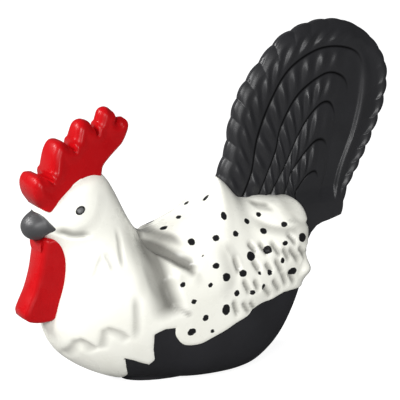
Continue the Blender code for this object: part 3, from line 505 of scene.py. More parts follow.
def wrapped_ball(name, inset, count, around):
    """A UV sphere whose rings are laid onto the body's sections."""
    (crown, rump), rows = body_rows(inset, count)
    rings = len(rows) + 1
    start_alone()
    bpy.ops.mesh.primitive_uv_sphere_add(segments=around, ring_count=rings, radius=1)
    ball = name_it(name)
    co = places_of(ball)
    ring = np.rint(np.arccos(np.clip(co[:, 2], -1, 1)) / math.pi * rings).astype(int)
    turn = np.arctan2(co[:, 1], co[:, 0])
    row = rows[np.clip(ring - 1, 0, len(rows) - 1)]
    c, s = np.cos(turn), np.sin(turn)
    fullness = np.where(c > 0, row[:, 5], row[:, 6])
    reach = (np.abs(c) ** fullness + np.abs(s) ** fullness) ** (-1 / fullness)
    centre, half = (row[:, 0:2] + row[:, 2:4]) / 2, (row[:, 0:2] - row[:, 2:4]) / 2
    flat = centre + half * (c * reach)[:, None]
    out = np.column_stack([flat[:, 0], row[:, 4] * s * reach, flat[:, 1]])
    out[ring == 0] = (crown[0], 0, crown[1])
    out[ring == rings] = (rump[0], 0, rump[1])
    put_places(ball, out)
    return ball


BELLY_STEP = 0.7 * MM
COAT_ROWS, COAT_AROUND = 224, 230
BELLY_ROWS, BELLY_AROUND = 150, 160
print(len(body_rows(0.0, COAT_ROWS)[1]), "rings carry the coat")

# %% [markdown]
# ## The hem between white and black
# On the figure the white coat ends in a jagged hem under the breast and in the round, scalloped edge
# of the wing. It could be painted as a mask, but it stands proud, so it is cut as a real edge. The
# same line trims the white piece and, moved up a little, the black one that laps under it.

# %% The hem as an outline
HACKLE_HEM = (
    (-26.0, -6.0), (-26.2, 3.9), (-27.8, 6.8), (-29.1, 10.1), (-27.0, 9.3), (-24.8, 8.2),
    (-22.3, 7.2), (-21.2, 8.6), (-22.1, 12.0), (-22.4, 16.4), (-19.5, 17.5), (-16.5, 17.4),
)
WING_HEM = (
    (-16.5, 17.4), (-16.4, 15.3), (-14.6, 12.8), (-12.5, 11.9), (-9.2, 11.9), (-6.1, 13.0),
    (-2.0, 14.5), (1.0, 15.9), (4.3, 17.2), (6.1, 18.8), (8.9, 19.9), (12.5, 20.3),
    (16.7, 21.3), (22.3, 21.0), (26.0, 20.4), (40.0, 20.4),
)
hem_line = np.vstack([side_view(HACKLE_HEM[:-1]), flowing(side_view(WING_HEM), 4)])
white_side = np.vstack([hem_line, side_view([(40.0, 120.0), (-80.0, 120.0), (-80.0, -6.0)])])


def above_hem(flat):
    """How far a side-view place lies on the white side of the hem."""
    return depth_in(flat, white_side, hem_line)


print("hem length", round(length_of(hem_line) / MM), "mm")

# %% [markdown]
# ## Tooling marks in the plumage
# The mould maker cut the feathers with soft strokes: folds between wing and breast, a crease under
# the cheek, flutes on the wing. They could be sculpted one by one. Here each is a line with a height
# and a reach to its left and right, and fades at both ends, so one list describes them all and any
# of them can be moved later.

# %% The strokes of the coat
# points, height, reach on the left, reach on the right, all in mm, and the share that fades at each end
STROKES = (
    # the wide dip between the neck's flank and the wing
    (((-20.2, 43.0), (-19.5, 37.0), (-19.2, 31.0), (-18.0, 25.0), (-16.5, 19.5)), -1.1, 4.5, 7.5, 0.2),
    # the hackle's edge on the back, raised, and the crease beside it
    (((-21.4, 42.4), (-20.4, 40.2), (-19.4, 37.6), (-18.4, 35.2)), 0.4, 0.8, 1.6, 0.2),
    (((-19.9, 41.6), (-18.4, 38.2), (-16.2, 36.2), (-13.9, 34.4), (-11.2, 32.4), (-9.5, 30.2)),
     -1.4, 3.4, 1.7, 0.2),
    (((-19.2, 31.0), (-18.4, 27.0), (-17.3, 24.2), (-15.4, 22.0), (-13.2, 20.6)), -0.9, 2.4, 1.6, 0.3),
    (((-22.5, 36.0), (-22.2, 31.8), (-21.5, 28.6), (-19.2, 24.0)), -0.55, 2.4, 2.0, 0.35),
    (((-17.0, 28.5), (-14.5, 31.2), (-11.0, 30.4), (-9.4, 27.4)), 0.6, 2.0, 2.6, 0.3),
    # breast and neck
    (((-27.4, 28.5), (-27.9, 23.8), (-27.7, 14.5)), -0.5, 2.6, 0.9, 0.3),
    (((-29.2, 44.5), (-29.0, 40.8), (-29.3, 38.0), (-29.4, 33.5)), -0.45, 1.4, 1.0, 0.3),
    (((-38.2, 30.2), (-36.0, 34.4), (-34.5, 37.2), (-33.5, 39.2)), -0.35, 0.8, 2.6, 0.35),
    (((-33.6, 39.0), (-32.7, 36.1), (-32.0, 33.0)), -0.35, 2.4, 0.8, 0.35),
    (((-46.0, 45.0), (-42.5, 43.4), (-40.2, 42.9), (-35.5, 43.4)), -0.8, 2.6, 1.0, 0.3),
    (((-42.6, 9.5), (-41.9, 13.0), (-41.2, 16.8)), -0.5, 0.9, 2.8, 0.2),
    (((-41.2, 16.8), (-39.1, 15.6), (-36.0, 13.2)), -0.5, 0.8, 2.8, 0.2),
    (((-36.0, 13.2), (-35.6, 20.0)), -0.5, 0.9, 2.8, 0.2),
    (((-35.6, 20.0), (-31.1, 18.1), (-28.6, 15.6)), -0.5, 0.8, 2.8, 0.2),
    # saddle: the shoulder, the fold under the tail and the wing's tip
    (((-2.9, 40.1), (-1.3, 36.3), (-0.4, 32.2), (0.0, 26.9), (-3.4, 24.0), (-5.8, 22.3)),
     -0.35, 2.8, 4.0, 0.35),
    (((9.0, 41.6), (11.0, 40.6), (14.0, 38.9), (19.5, 37.4), (26.0, 37.0)), -0.6, 1.0, 3.0, 0.3),
    (((12.0, 43.4), (15.7, 42.7), (18.5, 42.0)), -0.5, 0.8, 1.4, 0.35),
    (((21.0, 40.6), (24.5, 38.4), (28.9, 37.0)), -0.45, 0.9, 1.4, 0.3),
    (((22.5, 27.0), (25.5, 25.2), (28.5, 22.6)), 1.5, 3.2, 3.4, 0.2),
    (((25.6, 32.5), (27.2, 29.0)), -0.7, 2.4, 2.4, 0.3),
)
# flutes of the wing: start and end of each groove, and what they share
WING_GROOVES = (
    ((6.4, 36.0), (8.8, 32.8)), ((9.7, 35.6), (12.0, 31.8)), ((13.0, 35.4), (15.8, 30.8)),
    ((16.2, 33.6), (18.4, 29.2)), ((17.8, 33.4), (22.2, 27.8)), ((18.4, 36.8), (21.2, 32.9)),
    ((21.2, 32.9), (24.8, 28.6)), ((1.4, 33.6), (2.4, 28.6)), ((6.6, 31.8), (8.8, 27.8)),
    ((10.4, 30.6), (12.4, 27.0)), ((13.4, 31.4), (16.0, 25.8)), ((15.4, 27.4), (17.2, 22.6)),
    ((3.0, 27.6), (5.2, 22.6)), ((6.4, 27.0), (8.0, 23.2)), ((9.2, 24.6), (11.9, 20.8)),
    ((12.2, 26.0), (15.1, 21.4)), ((-0.2, 22.6), (1.5, 17.2)), ((2.6, 21.6), (5.0, 17.4)),
    ((4.8, 21.2), (6.7, 18.5)), ((17.4, 27.4), (20.4, 22.4)),
)
FLUTE = (-0.95, 1.4, 1.0, 0.3)
print(len(STROKES), "strokes and", len(WING_GROOVES), "flutes")

# %% [markdown]
# ## Painted shade in the folds
# The folds are darkened in the paint as painted shade, and more so the deeper a fold is. Shade also
# falls beside a fold, and the lamps alone would leave those places too light, so the painted shade
# has strokes of its own, with a darkness instead of a height.

# %% Painted shade in the folds
# painted shade: darker paint along these lines, where shade falls beside the folds
PAINTED_SHADES = (
    # beside the hackle's edge, down the valley and in the dip below it
    (((-20.2, 41.6), (-18.4, 36.8), (-15.4, 34.0), (-11.6, 31.4)), 1.0, 3.0, 1.4, 0.12),
    (((-19.0, 40.6), (-14.8, 38.8), (-10.0, 38.2)), 0.8, 1.2, 2.6, 0.25),
    (((-16.4, 35.2), (-12.8, 32.8), (-9.6, 30.2)), 0.8, 0.8, 2.4, 0.2),
    (((-20.4, 36.0), (-19.6, 30.0), (-18.2, 25.6), (-14.4, 21.2)), 0.45, 3.2, 3.2, 0.3),
    (((-17.6, 25.4), (-15.6, 22.6), (-13.3, 20.7), (-11.4, 20.2)), 0.75, 1.6, 1.0, 0.25),
    (((-17.6, 29.0), (-17.2, 24.8)), 0.45, 1.4, 1.2, 0.35),
    # neck and head
    (((-27.0, 47.0), (-25.4, 42.0), (-24.6, 36.0), (-24.4, 30.0), (-25.4, 24.0)), 0.32, 4.0, 4.4, 0.3),
    (((-29.5, 56.0), (-26.5, 50.5), (-24.6, 46.5), (-22.8, 43.2)), 0.32, 0.5, 4.6, 0.25),
    (((-32.2, 55.4), (-34.0, 49.8), (-36.9, 45.9), (-42.2, 44.0)), 0.2, 4.0, 1.8, 0.25),
    (((-29.2, 44.5), (-29.0, 40.8), (-29.3, 38.0), (-29.4, 33.5)), 0.45, 0.9, 0.8, 0.3),
    # breast
    (((-27.4, 28.5), (-27.9, 23.8), (-27.7, 14.5)), 0.5, 0.9, 0.7, 0.3),
    (((-42.6, 9.5), (-41.9, 13.0), (-41.2, 16.8)), 0.4, 0.6, 2.4, 0.3),
    (((-41.2, 16.8), (-39.1, 15.6), (-36.0, 13.2)), 0.35, 0.6, 2.0, 0.3),
    (((-35.6, 20.0), (-31.1, 18.1), (-28.6, 15.6)), 0.3, 0.6, 1.8, 0.3),
    # rear of the saddle
    (((19.5, 43.8), (22.4, 40.2), (23.5, 36.1), (24.0, 31.5)), 0.48, 5.0, 4.6, 0.2),
    (((11.4, 43.7), (14.5, 43.2), (17.6, 42.7)), 0.85, 0.7, 0.9, 0.3),
    (((18.9, 39.8), (23.2, 38.2)), 0.6, 0.8, 0.9, 0.35),
    (((17.2, 36.8), (20.2, 34.8)), 0.5, 0.8, 0.9, 0.35),
    (((17.2, 32.8), (22.6, 29.3)), 0.55, 0.9, 1.2, 0.35),
    (((12.5, 35.6), (15.6, 31.4)), 0.5, 0.6, 0.7, 0.35),
    # behind the shoulder and along the wing's hem
    (((-1.1, 37.8), (0.5, 33.9), (1.7, 31.7), (2.3, 28.6)), 0.5, 3.2, 0.5, 0.3),
    (((1.6, 28.6), (-0.4, 25.4), (-4.2, 22.4)), 0.25, 3.0, 0.5, 0.3),
    (((-0.6, 21.5), (5.4, 20.5), (11.4, 22.0), (17.4, 23.0)), 0.22, 3.0, 2.0, 0.3),
)
print(len(PAINTED_SHADES), "shades")

# %% [markdown]
# ## From strokes to heights
# Each stroke rises smoothly from its edges to its line. The heights add up, as cuts of a tool do, and
# are eased near the hem, where the wall ends, and along the back, where the two sides meet.


# %% The relief of the coat
HEM_SHARE, HEM_FADE = 0.45, 4 * MM
BACK_FREE, BACK_FADE = 1.5 * MM, 3.0 * MM


def stroke(flat, points, height, left, right, taper):
    """Height of one tooled mark at each place, in metres."""
    line = flowing(side_view(points))
    gap, along, side = nearest(flat, line)
    length = length_of(line)
    reach = np.where(side > 0, left, right) * MM
    ends = smooth(np.minimum(along, length - along) / (taper * length))
    return height * MM * smooth(1 - gap / reach) * ends


def coat_relief(places):
    """Height of all that is tooled into the coat, in metres, and how dark the painted shade makes each
    place.
    """
    flat = places[:, (0, 2)]
    height, painted_crease_shade, painted_shade = np.zeros(len(flat)), np.zeros(len(flat)), np.zeros(len(flat))
    for mark in [*STROKES, *((groove, *FLUTE) for groove in WING_GROOVES)]:
        risen = stroke(flat, *mark)
        height += risen
        # painted shade: the deeper a fold, the darker its paint
        painted_crease_shade = np.maximum(painted_crease_shade, -risen)
    eased = HEM_SHARE + (1 - HEM_SHARE) * smooth(above_hem(flat) / HEM_FADE)
    height = np.where(height < 0, height * eased, height)
    aside = smooth((np.abs(places[:, 1]) - BACK_FREE) / BACK_FADE)
    # painted shade strokes also darken the paint beside the folds
    for shade in PAINTED_SHADES:
        painted_shade = np.maximum(painted_shade, stroke(flat, *shade) / MM)
    return height * aside, np.maximum(painted_crease_shade * aside / MM, painted_shade)


peak = stroke(side_view([(-27.8, 20.0)]), *STROKES[6])[0]
print("the fold on the breast is", round(-peak / MM, 2), "mm deep at its middle")

# %% [markdown]
# ## The white coat
# The white part of the casting is a thin shell. The ball is laid out, tooled along its normals and
# trimmed along the hem. The edge then dips a little, which rounds it as thick paint does, and
# Solidify gives the shell its wall, inwards only, so that the outside keeps its size.


# %% Model the white coat
COAT_WALL = 1.2 * MM
HEM_SNAP = 0.1 * MM
HEM_ROUND, HEM_DIP = 0.5 * MM, 0.3 * MM


def give_wall(thing, thickness):
    wall = thing.modifiers.new("wall", "SOLIDIFY")
    wall.thickness, wall.offset = thickness, -1
    apply_all(thing)


coat = wrapped_ball("white_coat", 0.0, COAT_ROWS, COAT_AROUND)
tooled, painted_crease_shade = coat_relief(places_of(coat))
# the painted shade in and beside the folds goes to the paint as an attribute
store(coat, "painted_crease_shade", painted_crease_shade)
put_places(coat, places_of(coat) + normals_of(coat) * tooled[:, None])
trim(coat, above_hem, (0.0,), HEM_SNAP)
edge_gap = above_hem(places_of(coat)[:, (0, 2)])
dip = HEM_DIP * (1 - np.clip(edge_gap / HEM_ROUND, 0, 1)) ** 2
put_places(coat, places_of(coat) - normals_of(coat) * dip[:, None])
give_wall(coat, COAT_WALL)
tell(coat)

# %% [markdown]
# ## The black belly
# Belly and rump are the lower half of the casting, a step further in than the coat. So the belly is
# the same ball drawn in by that step, kept only below the hem and a lap of 2 mm above it, under the
# coat. The base plate sits in a recess, cut by a Boolean with an oval drum, which suits a plain hole.


# %% Model the black belly
LAP = 2.0 * MM
BELLY_WALL = 1.4 * MM
LAP_SNAP = 0.15 * MM
RECESS_DEPTH, RECESS_ROOM = 1.5 * MM, 0.6 * MM


def under_lap(flat):
    return LAP - above_hem(flat)


def cut_away(thing, tool):
    """Cut the tool's form out of the piece, then drop the tool."""
    cut = thing.modifiers.new("cut", "BOOLEAN")
    cut.operation, cut.solver, cut.object = "DIFFERENCE", "EXACT", tool
    apply_all(thing)
    bpy.data.objects.remove(tool)


belly = wrapped_ball("black_belly", BELLY_STEP, BELLY_ROWS, BELLY_AROUND)
trim(belly, under_lap, (0.0,), LAP_SNAP)
give_wall(belly, BELLY_WALL)
start_alone()
plate_size = plate_high - plate_low
plate_middle = (plate_high + plate_low) / 2
bpy.ops.mesh.primitive_cylinder_add(
    vertices=64, radius=0.5, depth=2 * RECESS_DEPTH, location=(plate_middle.x, 0, 0))
recess = name_it("recess")
recess.scale = (plate_size.x + RECESS_ROOM, plate_size.y + RECESS_ROOM, 1)
cut_away(belly, recess)
tell(belly)

# %% [markdown]
# ## A sheet inside an outline
# Comb, wattle and beak are cast as thick leaves with soft edges. An extruded outline with a bevel
# would have one thickness everywhere, so each starts as a fine grid in the side view, trimmed along
# its outline, with extra rows near the edge to carry the roundness.


# %% Sheets and their rims
SNAP_SHARE = 0.22


def sheet_in(name, loop, cell, levels):
    """A flat mesh that fills the outline, with rows of vertices at the given depths."""
    low, high = loop.min(axis=0) - cell, loop.max(axis=0) + cell
    count = np.ceil((high - low) / cell).astype(int)
    start_alone()
    bpy.ops.mesh.primitive_grid_add(x_subdivisions=int(count[0]), y_subdivisions=int(count[1]), size=1)
    sheet = name_it(name)
    flat = places_of(sheet)[:, :2] * (high - low) + (low + high) / 2
    put_places(sheet, np.column_stack([flat[:, 0], np.zeros(len(flat)), flat[:, 1]]))
    trim(sheet, lambda flat: depth_in(flat, loop), levels, SNAP_SHARE * cell)
    return sheet


def rim_of(thing):
    """Which vertices lie on the mesh's open edges."""
    with opened(thing) as shape:
        return np.array([v.is_boundary for v in shape.verts])


def tidy_rim(thing):
    """Drop slivers whose corners all lie on the rim, and split edges that run from rim to rim."""
    with opened(thing) as shape:
        ears = True
        while ears:
            ears = [face for face in shape.faces if all(v.is_boundary for v in face.verts)]
            bmesh.ops.delete(shape, geom=ears, context="FACES")
        chords = [edge for edge in shape.edges
                  if not edge.is_boundary and all(v.is_boundary for v in edge.verts)]
        bmesh.ops.subdivide_edges(shape, edges=chords, cuts=1)


print("a vertex within", SNAP_SHARE, "of a cell is slid onto the outline")

# %% [markdown]
# ## From sheet to slab
# The sheet is doubled, the copies are pushed apart by a thickness that changes from place to place,
# and they meet at the edge, where their vertices are merged. Solidify can't do this, because it would
# leave a wall of its own round the edge. The beak ends where it meets the head, so there the two
# copies stay apart and a wall joins them.


# %% The slab helper
SLAB_MERGE, HAIR = 0.005 * MM, 0.001 * MM
PLACE_DIGITS = 7


def close_side(thing, line):
    """Join the near and far rows of an open side with a wall, and fill its two corners."""
    with opened(thing) as shape:
        pairs = {}
        for v in shape.verts:
            if v.is_boundary:
                place = (round(v.co.x, PLACE_DIGITS), round(v.co.z, PLACE_DIGITS))
                pairs.setdefault(place, []).append(v)
        keys = list(pairs)
        along = nearest(np.array(keys), line)[1]
        rows = [sorted(pairs[keys[i]], key=lambda v: v.co.y) for i in np.argsort(along)]
        for first, second in zip(rows, rows[1:]):
            ring = first + second[::-1]
            if len(ring) > 2:
                shape.faces.new(ring)
        left_open = [edge for edge in shape.edges if edge.is_boundary]
        bmesh.ops.holes_fill(shape, edges=left_open, sides=0)


def slab(name, loop, cell, levels, half_thickness, open_line=None, closed_line=None):
    """A closed slab: half_thickness(flat, depth) gives its half thickness at places in the outline."""
    sheet = sheet_in(name, loop, cell, levels)
    tidy_rim(sheet)
    edit_all(sheet, bpy.ops.mesh.duplicate, bpy.ops.mesh.flip_normals)
    places = places_of(sheet)
    flat = places[:, (0, 2)]
    inward = np.maximum(depth_in(flat, loop), 0)
    on_edge = rim_of(sheet)
    if open_line is not None:
        on_edge &= nearest(flat, closed_line)[0] <= nearest(flat, open_line)[0] + HAIR
    half = np.where(on_edge, 0, half_thickness(flat, inward))
    far = np.arange(len(places)) >= len(places) // 2
    places[:, 1] = np.where(far, half, -half)
    put_places(sheet, places)
    edit_all(sheet, merge_within(SLAB_MERGE))
    if open_line is not None:
        close_side(sheet, open_line)
    edit_all(sheet, face_outwards)
    return sheet


def round_edge(depth, radius):
    """How much thinner a slab is near an edge rounded to this radius."""
    x = np.clip(1 - depth / radius, 0, 1)
    return radius * (1 - np.sqrt(1 - x * x))


print("an edge of 1 mm radius is", round(float(round_edge(0.5, 1.0)), 3), "mm thinner half way in")

# %% [markdown]
# ## The arcs of the tail fan
# The fan is the showpiece of the casting: rows of sickle feathers lie in nested arcs and end in a rim
# of small scallops. A grid suits this better than an outline that is cut out, because its columns run
# across the arcs and its rows run along them, so every crease follows a row. First come the arcs,
# from the rim inwards, and the core line that they close in on.

# %% Arcs of the tail
TAIL_ARCS = (
    ((8.0, 41.0), (5.6, 46.0), (4.9, 50.3), (7.5, 57.3), (9.0, 65.1), (12.0, 72.6),
     (17.7, 79.5), (24.6, 85.7), (34.2, 88.7), (44.0, 87.9), (52.0, 82.7),
     (56.5, 75.0), (56.3, 66.5), (53.0, 57.6),
     (48.4, 48.7), (43.9, 41.1), (42.4, 35.4)),
    ((12.2, 36.8), (11.0, 42.0), (12.9, 46.5), (14.7, 51.1), (16.3, 59.8), (20.2, 69.0), (25.8, 76.9),
     (34.4, 81.3), (42.6, 81.2), (48.0, 77.9), (48.9, 69.1), (46.6, 58.7), (42.6, 49.3),
     (40.8, 42.5), (40.3, 34.9)),
    ((16.0, 34.0), (15.5, 41.5), (17.5, 45.6), (21.8, 55.1), (23.5, 61.9), (28.7, 69.9), (36.7, 74.5),
     (41.6, 73.8), (44.1, 70.5), (43.9, 63.5), (42.4, 56.0), (40.4, 49.0), (38.9, 43.5), (38.2, 34.4)),
    ((20.0, 31.6), (19.5, 41.5), (21.3, 45.3), (24.9, 51.1), (30.1, 60.8), (35.0, 66.1), (38.6, 66.6),
     (40.4, 62.4), (40.2, 55.0), (39.0, 48.0), (37.6, 43.5), (36.4, 34.1)),
    ((24.0, 29.9), (23.8, 41.0), (25.3, 44.5), (26.8, 48.9), (30.8, 53.6), (34.4, 56.6), (37.2, 56.2),
     (38.2, 52.5), (37.4, 47.0), (36.2, 43.0), (34.6, 33.4)),
    ((28.0, 29.0), (28.0, 42.0), (29.4, 45.0), (32.0, 47.6), (34.4, 48.2), (35.3, 46.0), (34.6, 43.0),
     (32.9, 31.8)),
)
TAIL_CORE = ((31.0, 28.4), (31.2, 42.0), (31.55, 45.2))
# Millimetres along the rim where two scallops meet, and how deep the scallops are there
NOTCHES = (0.0, 6.0, 11.0, 15.5, 20.0, 26.1, 31.2, 36.5, 42.3, 48.3, 55.0, 60.6, 66.0, 71.1, 76.0, 81.2,
           85.6, 89.5, 94.4, 98.8, 104.2, 109.1, 113.4, 117.4, 121.2, 125.3, 129.6, 133.5)
SCALLOP_DEPTH = ((0, 0.2), (12, 0.25), (20, 0.5), (55, 0.5), (64, 0.3), (76, 0.1),
                 (90, 0.3), (104, 0.9), (118, 0.6), (133, 0.25))
SCALLOP_CREST, SCALLOP_POWER = 0.7, 0.8
TAIL_COLUMNS, ROWS_IN_BAND = 560, 14
CORE_BAND = len(TAIL_ARCS) - 1


def even_line(points, count):
    """Places at equal steps along a smooth line, in metres, and its length in millimetres."""
    line = flowing(side_view(points), 24)
    run = np.concatenate([[0], np.cumsum(np.hypot(*np.diff(line, axis=0).T))])
    at = np.linspace(0, run[-1], count)
    return np.column_stack([np.interp(at, run, line[:, 0]), np.interp(at, run, line[:, 1])]), run[-1] / MM


def tail_rows(count):
    """The arcs at count places each, the rim with its scallops, and the core line there and back."""
    rows, lengths = zip(*(even_line(points, count) for points in TAIL_ARCS))
    rows = list(rows)
    along = np.linspace(0, lengths[0], count)
    outward = np.gradient(rows[0], axis=0)[:, ::-1] * (-1, 1)
    outward /= np.hypot(*outward.T)[:, None]
    wave = np.abs(np.sin(math.pi * np.interp(along, NOTCHES, range(len(NOTCHES))))) ** SCALLOP_POWER
    depth = np.interp(along, *zip(*SCALLOP_DEPTH)) * MM
    rows[0] = rows[0] + outward * (depth * (wave - SCALLOP_CREST))[:, None]
    half = even_line(TAIL_CORE, count // 2 + 1)[0]
    rows.append(np.vstack([half, half[-2::-1]]))
    return rows, lengths


tail_lines, tail_lengths = tail_rows(TAIL_COLUMNS + 1)
print("arc lengths", [round(length) for length in tail_lengths], "mm")

# %% [markdown]
# ## The relief of the tail
# Between two arcs each feather swells into a cushion that slants down and inwards. Past the top of
# the fan the cushions end, and a rounded bead follows the rim over a plain, slightly sunk field. Both
# are written as waves over two numbers: how far along an arc a place is, and how far across the band
# between two arcs. A texture could only bend the light here, while this gives a true outline.


# %% The relief of the tail
# Cushions between each arc and the next: millimetres to the middle of one of them, and their pitch.
# In the first band they follow the scallops, and in the last one there are none.
CUSHIONS = ((0.0, 5.3), (18.9, 5.3), (17.4, 4.3), (18.6, 5.2), (18.0, 4.2), (0.0, 1.0))
CUSHION_SLANT, FULL_WIDTH = 1.2, 7.0
FRONT_ENDS, FRONT_FADE = 0.49, 0.12
REAR_STARTS, REAR_FADE = 0.56, 0.14
FIELD_HALF, RELIEF, ROOT_HALF = 1.75, 0.85, 2.6
ROOT_TOP, ROOT_FADE = 39.0, 5.0
GROOVE_DEPTH, GROOVE_REACH, GROOVE_FADE = 0.12, 0.5, 0.08
RIM_DROP, RIM_TAPER, REAR_RIM_SHARE = 0.7, 3.0, 0.8
LIP_DROP, LIP_REACH = 0.4, 0.5
FAR_OFF = 99.0


def bump(x, centre, reach):
    return smooth(1 - np.abs(x - centre) / reach)


def rim_distance(band, across, width):
    """Millimetres from the rim in the first band, and far off in all others."""
    return np.where(band == 0, across * width, FAR_OFF)


def tail_relief(share, band, across, width):
    """Half the tail's thickness in millimetres at a share of a band's length and across the band."""
    along = share * np.array(tail_lengths)[band]
    rank = np.interp(along, NOTCHES, range(len(NOTCHES))) + CUSHION_SLANT * across
    middle, pitch = np.array(CUSHIONS)[band].T
    row = np.where(band == 0, rank, (along - middle) / pitch + 0.5)
    lens_at = np.where(band == 0, np.clip((across - 0.32) / 0.64, 0, 1), across)
    crest = np.sin(math.pi * row) ** 2
    lens = np.sin(math.pi * lens_at) ** 1.4
    front = 1 - smooth((share - FRONT_ENDS) / FRONT_FADE)
    puff = np.where(band == CORE_BAND, 0.0, crest * lens * front * np.where(band == 0, 0.9, 1.0))
    rows = band + across
    bead = 0.75 * bump(rim_distance(band, across, width), 1.0, 2.4) + 0.5 * bump(rows, 0.86, 0.3)
    sunk = 0.3 * smooth((rows - 1.0) / 0.3) * (1 - smooth((rows - 3.6) / 0.8))
    rear = (bead - sunk) * smooth((share - REAR_STARTS) / REAR_FADE)
    return FIELD_HALF + RELIEF * (puff * np.clip(width / FULL_WIDTH, 0.35, 0.8) + rear)


def tail_groove(share, band, across, width):
    """Depth in millimetres of the creases along the arcs, which run out past the top."""
    near = np.where(band == 0, 1.0 - across, np.minimum(across, 1 - across)) * width
    near = np.where(band == CORE_BAND, across * width, near)
    fade = 1 - smooth((share - REAR_STARTS) / GROOVE_FADE)
    return GROOVE_DEPTH * smooth(1 - near / GROOVE_REACH) * fade


def tail_half(share, band, across, width, height):
    """Half thickness in metres, thinner at the rim and flat at the root."""
    half = tail_relief(share, band, across, width) - tail_groove(share, band, across, width)
    rim_gap = rim_distance(band, across, width)
    lip = np.clip(1 - rim_gap / LIP_REACH, 0, 1)
    rear_rim = 1 - REAR_RIM_SHARE * smooth((share - REAR_STARTS) / REAR_FADE)
    thinner = RIM_DROP * (1 - smooth(rim_gap / RIM_TAPER)) * rear_rim
    half = np.where(band == 0, half - thinner - LIP_DROP * (1 - np.sqrt(1 - lip**2)), half)
    rooted = smooth((height - ROOT_TOP) / ROOT_FADE)
    return (ROOT_HALF + (half - ROOT_HALF) * rooted) * MM


print("the tail is", 2 * ROOT_HALF, "mm thick at its root and", 2 * FIELD_HALF, "mm in its field")

# %% [markdown]
# ## The tail fan
# One grid is laid onto the arcs for each face of the fan, then the two are joined. They meet along
# the core line, where their vertices are merged, and a bridge closes the open outline between them.


# %% Model the tail fan
TAIL_MERGE = 0.002 * MM


def tail_side(name, sign):
    """One face of the tail: a grid whose rows run along the arcs."""
    bands = len(tail_lines) - 1
    rows = bands * ROWS_IN_BAND
    start_alone()
    bpy.ops.mesh.primitive_grid_add(x_subdivisions=TAIL_COLUMNS, y_subdivisions=rows, size=2)
    side = name_it(name)
    grid = places_of(side)
    share = (grid[:, 0] + 1) / 2
    deep = (grid[:, 1] + 1) / 2 * bands
    band = np.minimum(deep.astype(int), bands - 1)
    across = deep - band
    column = np.rint(share * TAIL_COLUMNS).astype(int)
    lines = np.array(tail_lines)
    outer, inner = lines[band, column], lines[band + 1, column]
    flat = outer + (inner - outer) * across[:, None]
    width = np.hypot(*(inner - outer).T) / MM
    half = tail_half(share, band, across, width, flat[:, 1] / MM)
    put_places(side, np.column_stack([flat[:, 0], sign * half, flat[:, 1]]))
    # the groove depth also sets the painted shade in the tail's paint
    store(side, "groove", tail_groove(share, band, across, width) / GROOVE_DEPTH)
    return side


def join(name, things):
    start_alone()
    for thing in things:
        thing.select_set(True)
    bpy.context.view_layer.objects.active = things[0]
    bpy.ops.object.join()
    return name_it(name)


def bridge_rims():
    """An edit step that joins the two open outlines with a wall."""
    bpy.ops.mesh.select_all(action="DESELECT")
    bpy.ops.mesh.select_mode(type="EDGE")
    bpy.ops.mesh.select_non_manifold(extend=False, use_wire=False, use_multi_face=False,
                                     use_non_contiguous=False, use_verts=False)
    bpy.ops.mesh.bridge_edge_loops(number_cuts=2, smoothness=1.0, profile_shape_factor=0.0)
    bpy.ops.mesh.select_mode(type="VERT")
    bpy.ops.mesh.select_all(action="SELECT")


tail = join("tail_fan", [tail_side("near_side", -1), tail_side("far_side", 1)])
edit_all(tail, merge_within(TAIL_MERGE), bridge_rims, face_outwards)
tell(tail)

# %% [markdown]
# ## Outlines of comb and wattle
# The comb has five lobes with sharp valleys between them, and the wattle hangs as one thick tongue.
# A smooth line would round the valleys off, so the comb's line is broken there. The runs of points
# that face forwards are listed too, because their edges are rounder than the rest.

# %% Outlines of comb and wattle
COMB_OUTLINE = (
    (-45.6, 49.0), (-47.9, 50.4), (-49.5, 53.0), (-50.0, 56.0), (-48.9, 58.3), (-46.9, 58.3), (-44.7, 56.7),
    (-44.7, 59.5), (-43.9, 63.7), (-42.5, 66.1), (-40.5, 66.2), (-39.0, 64.9), (-37.8, 63.4),
    (-37.5, 66.5), (-36.4, 69.7), (-34.7, 70.8), (-32.7, 70.2), (-31.6, 68.7), (-30.9, 66.7),
    (-30.5, 69.9), (-29.5, 72.5), (-27.7, 73.2), (-26.1, 72.2), (-25.4, 70.5), (-24.9, 69.1),
    (-24.1, 70.0), (-22.7, 69.9), (-21.9, 68.3), (-22.3, 65.8), (-23.8, 63.2), (-27.0, 60.7),
    (-29.4, 58.5), (-30.9, 55.5), (-38.0, 52.5),
)
COMB_NOTCHES = (6, 12, 18, 24)
WATTLE_OUTLINE = (
    (-46.9, 41.8), (-47.7, 37.6), (-48.6, 33.0), (-50.0, 28.6), (-51.6, 25.3), (-52.5, 23.0),
    (-51.8, 21.2), (-49.0, 20.2), (-45.9, 20.2), (-43.8, 21.0), (-42.9, 23.0), (-41.0, 27.0),
    (-38.0, 33.0), (-38.6, 41.4),
)
COMB_FRONTS = ((1, 5), (7, 11), (13, 17), (19, 22), (24, 26))
WATTLE_FRONTS = ((0, 6),)


def lobed_loop(points, notches, steps=8):
    """A loop that flows through the points but turns sharply at the notches."""
    points = side_view(points)
    stops = [0, *notches, len(points) - 1]
    pieces = [flowing(points[a:b + 1], steps)[:-1] for a, b in zip(stops, stops[1:])]
    return np.vstack(pieces + [points[-1:]])


comb_loop = lobed_loop(COMB_OUTLINE, COMB_NOTCHES)
wattle_loop = closed_flow(side_view(WATTLE_OUTLINE))
for name, loop in (("comb", comb_loop), ("wattle", wattle_loop)):
    print("round the", name, round(length_of(loop) / MM), "mm")

# %% [markdown]
# ## Comb and wattle
# Both are soft thick leaves of red-painted plastic. The comb is a wedge, thick over the beak and thin
# at the rear, and its lobes show bright round fronts beside a flat side. So the slab's thickness
# falls off widely from the fronts and only a little along the other edges.


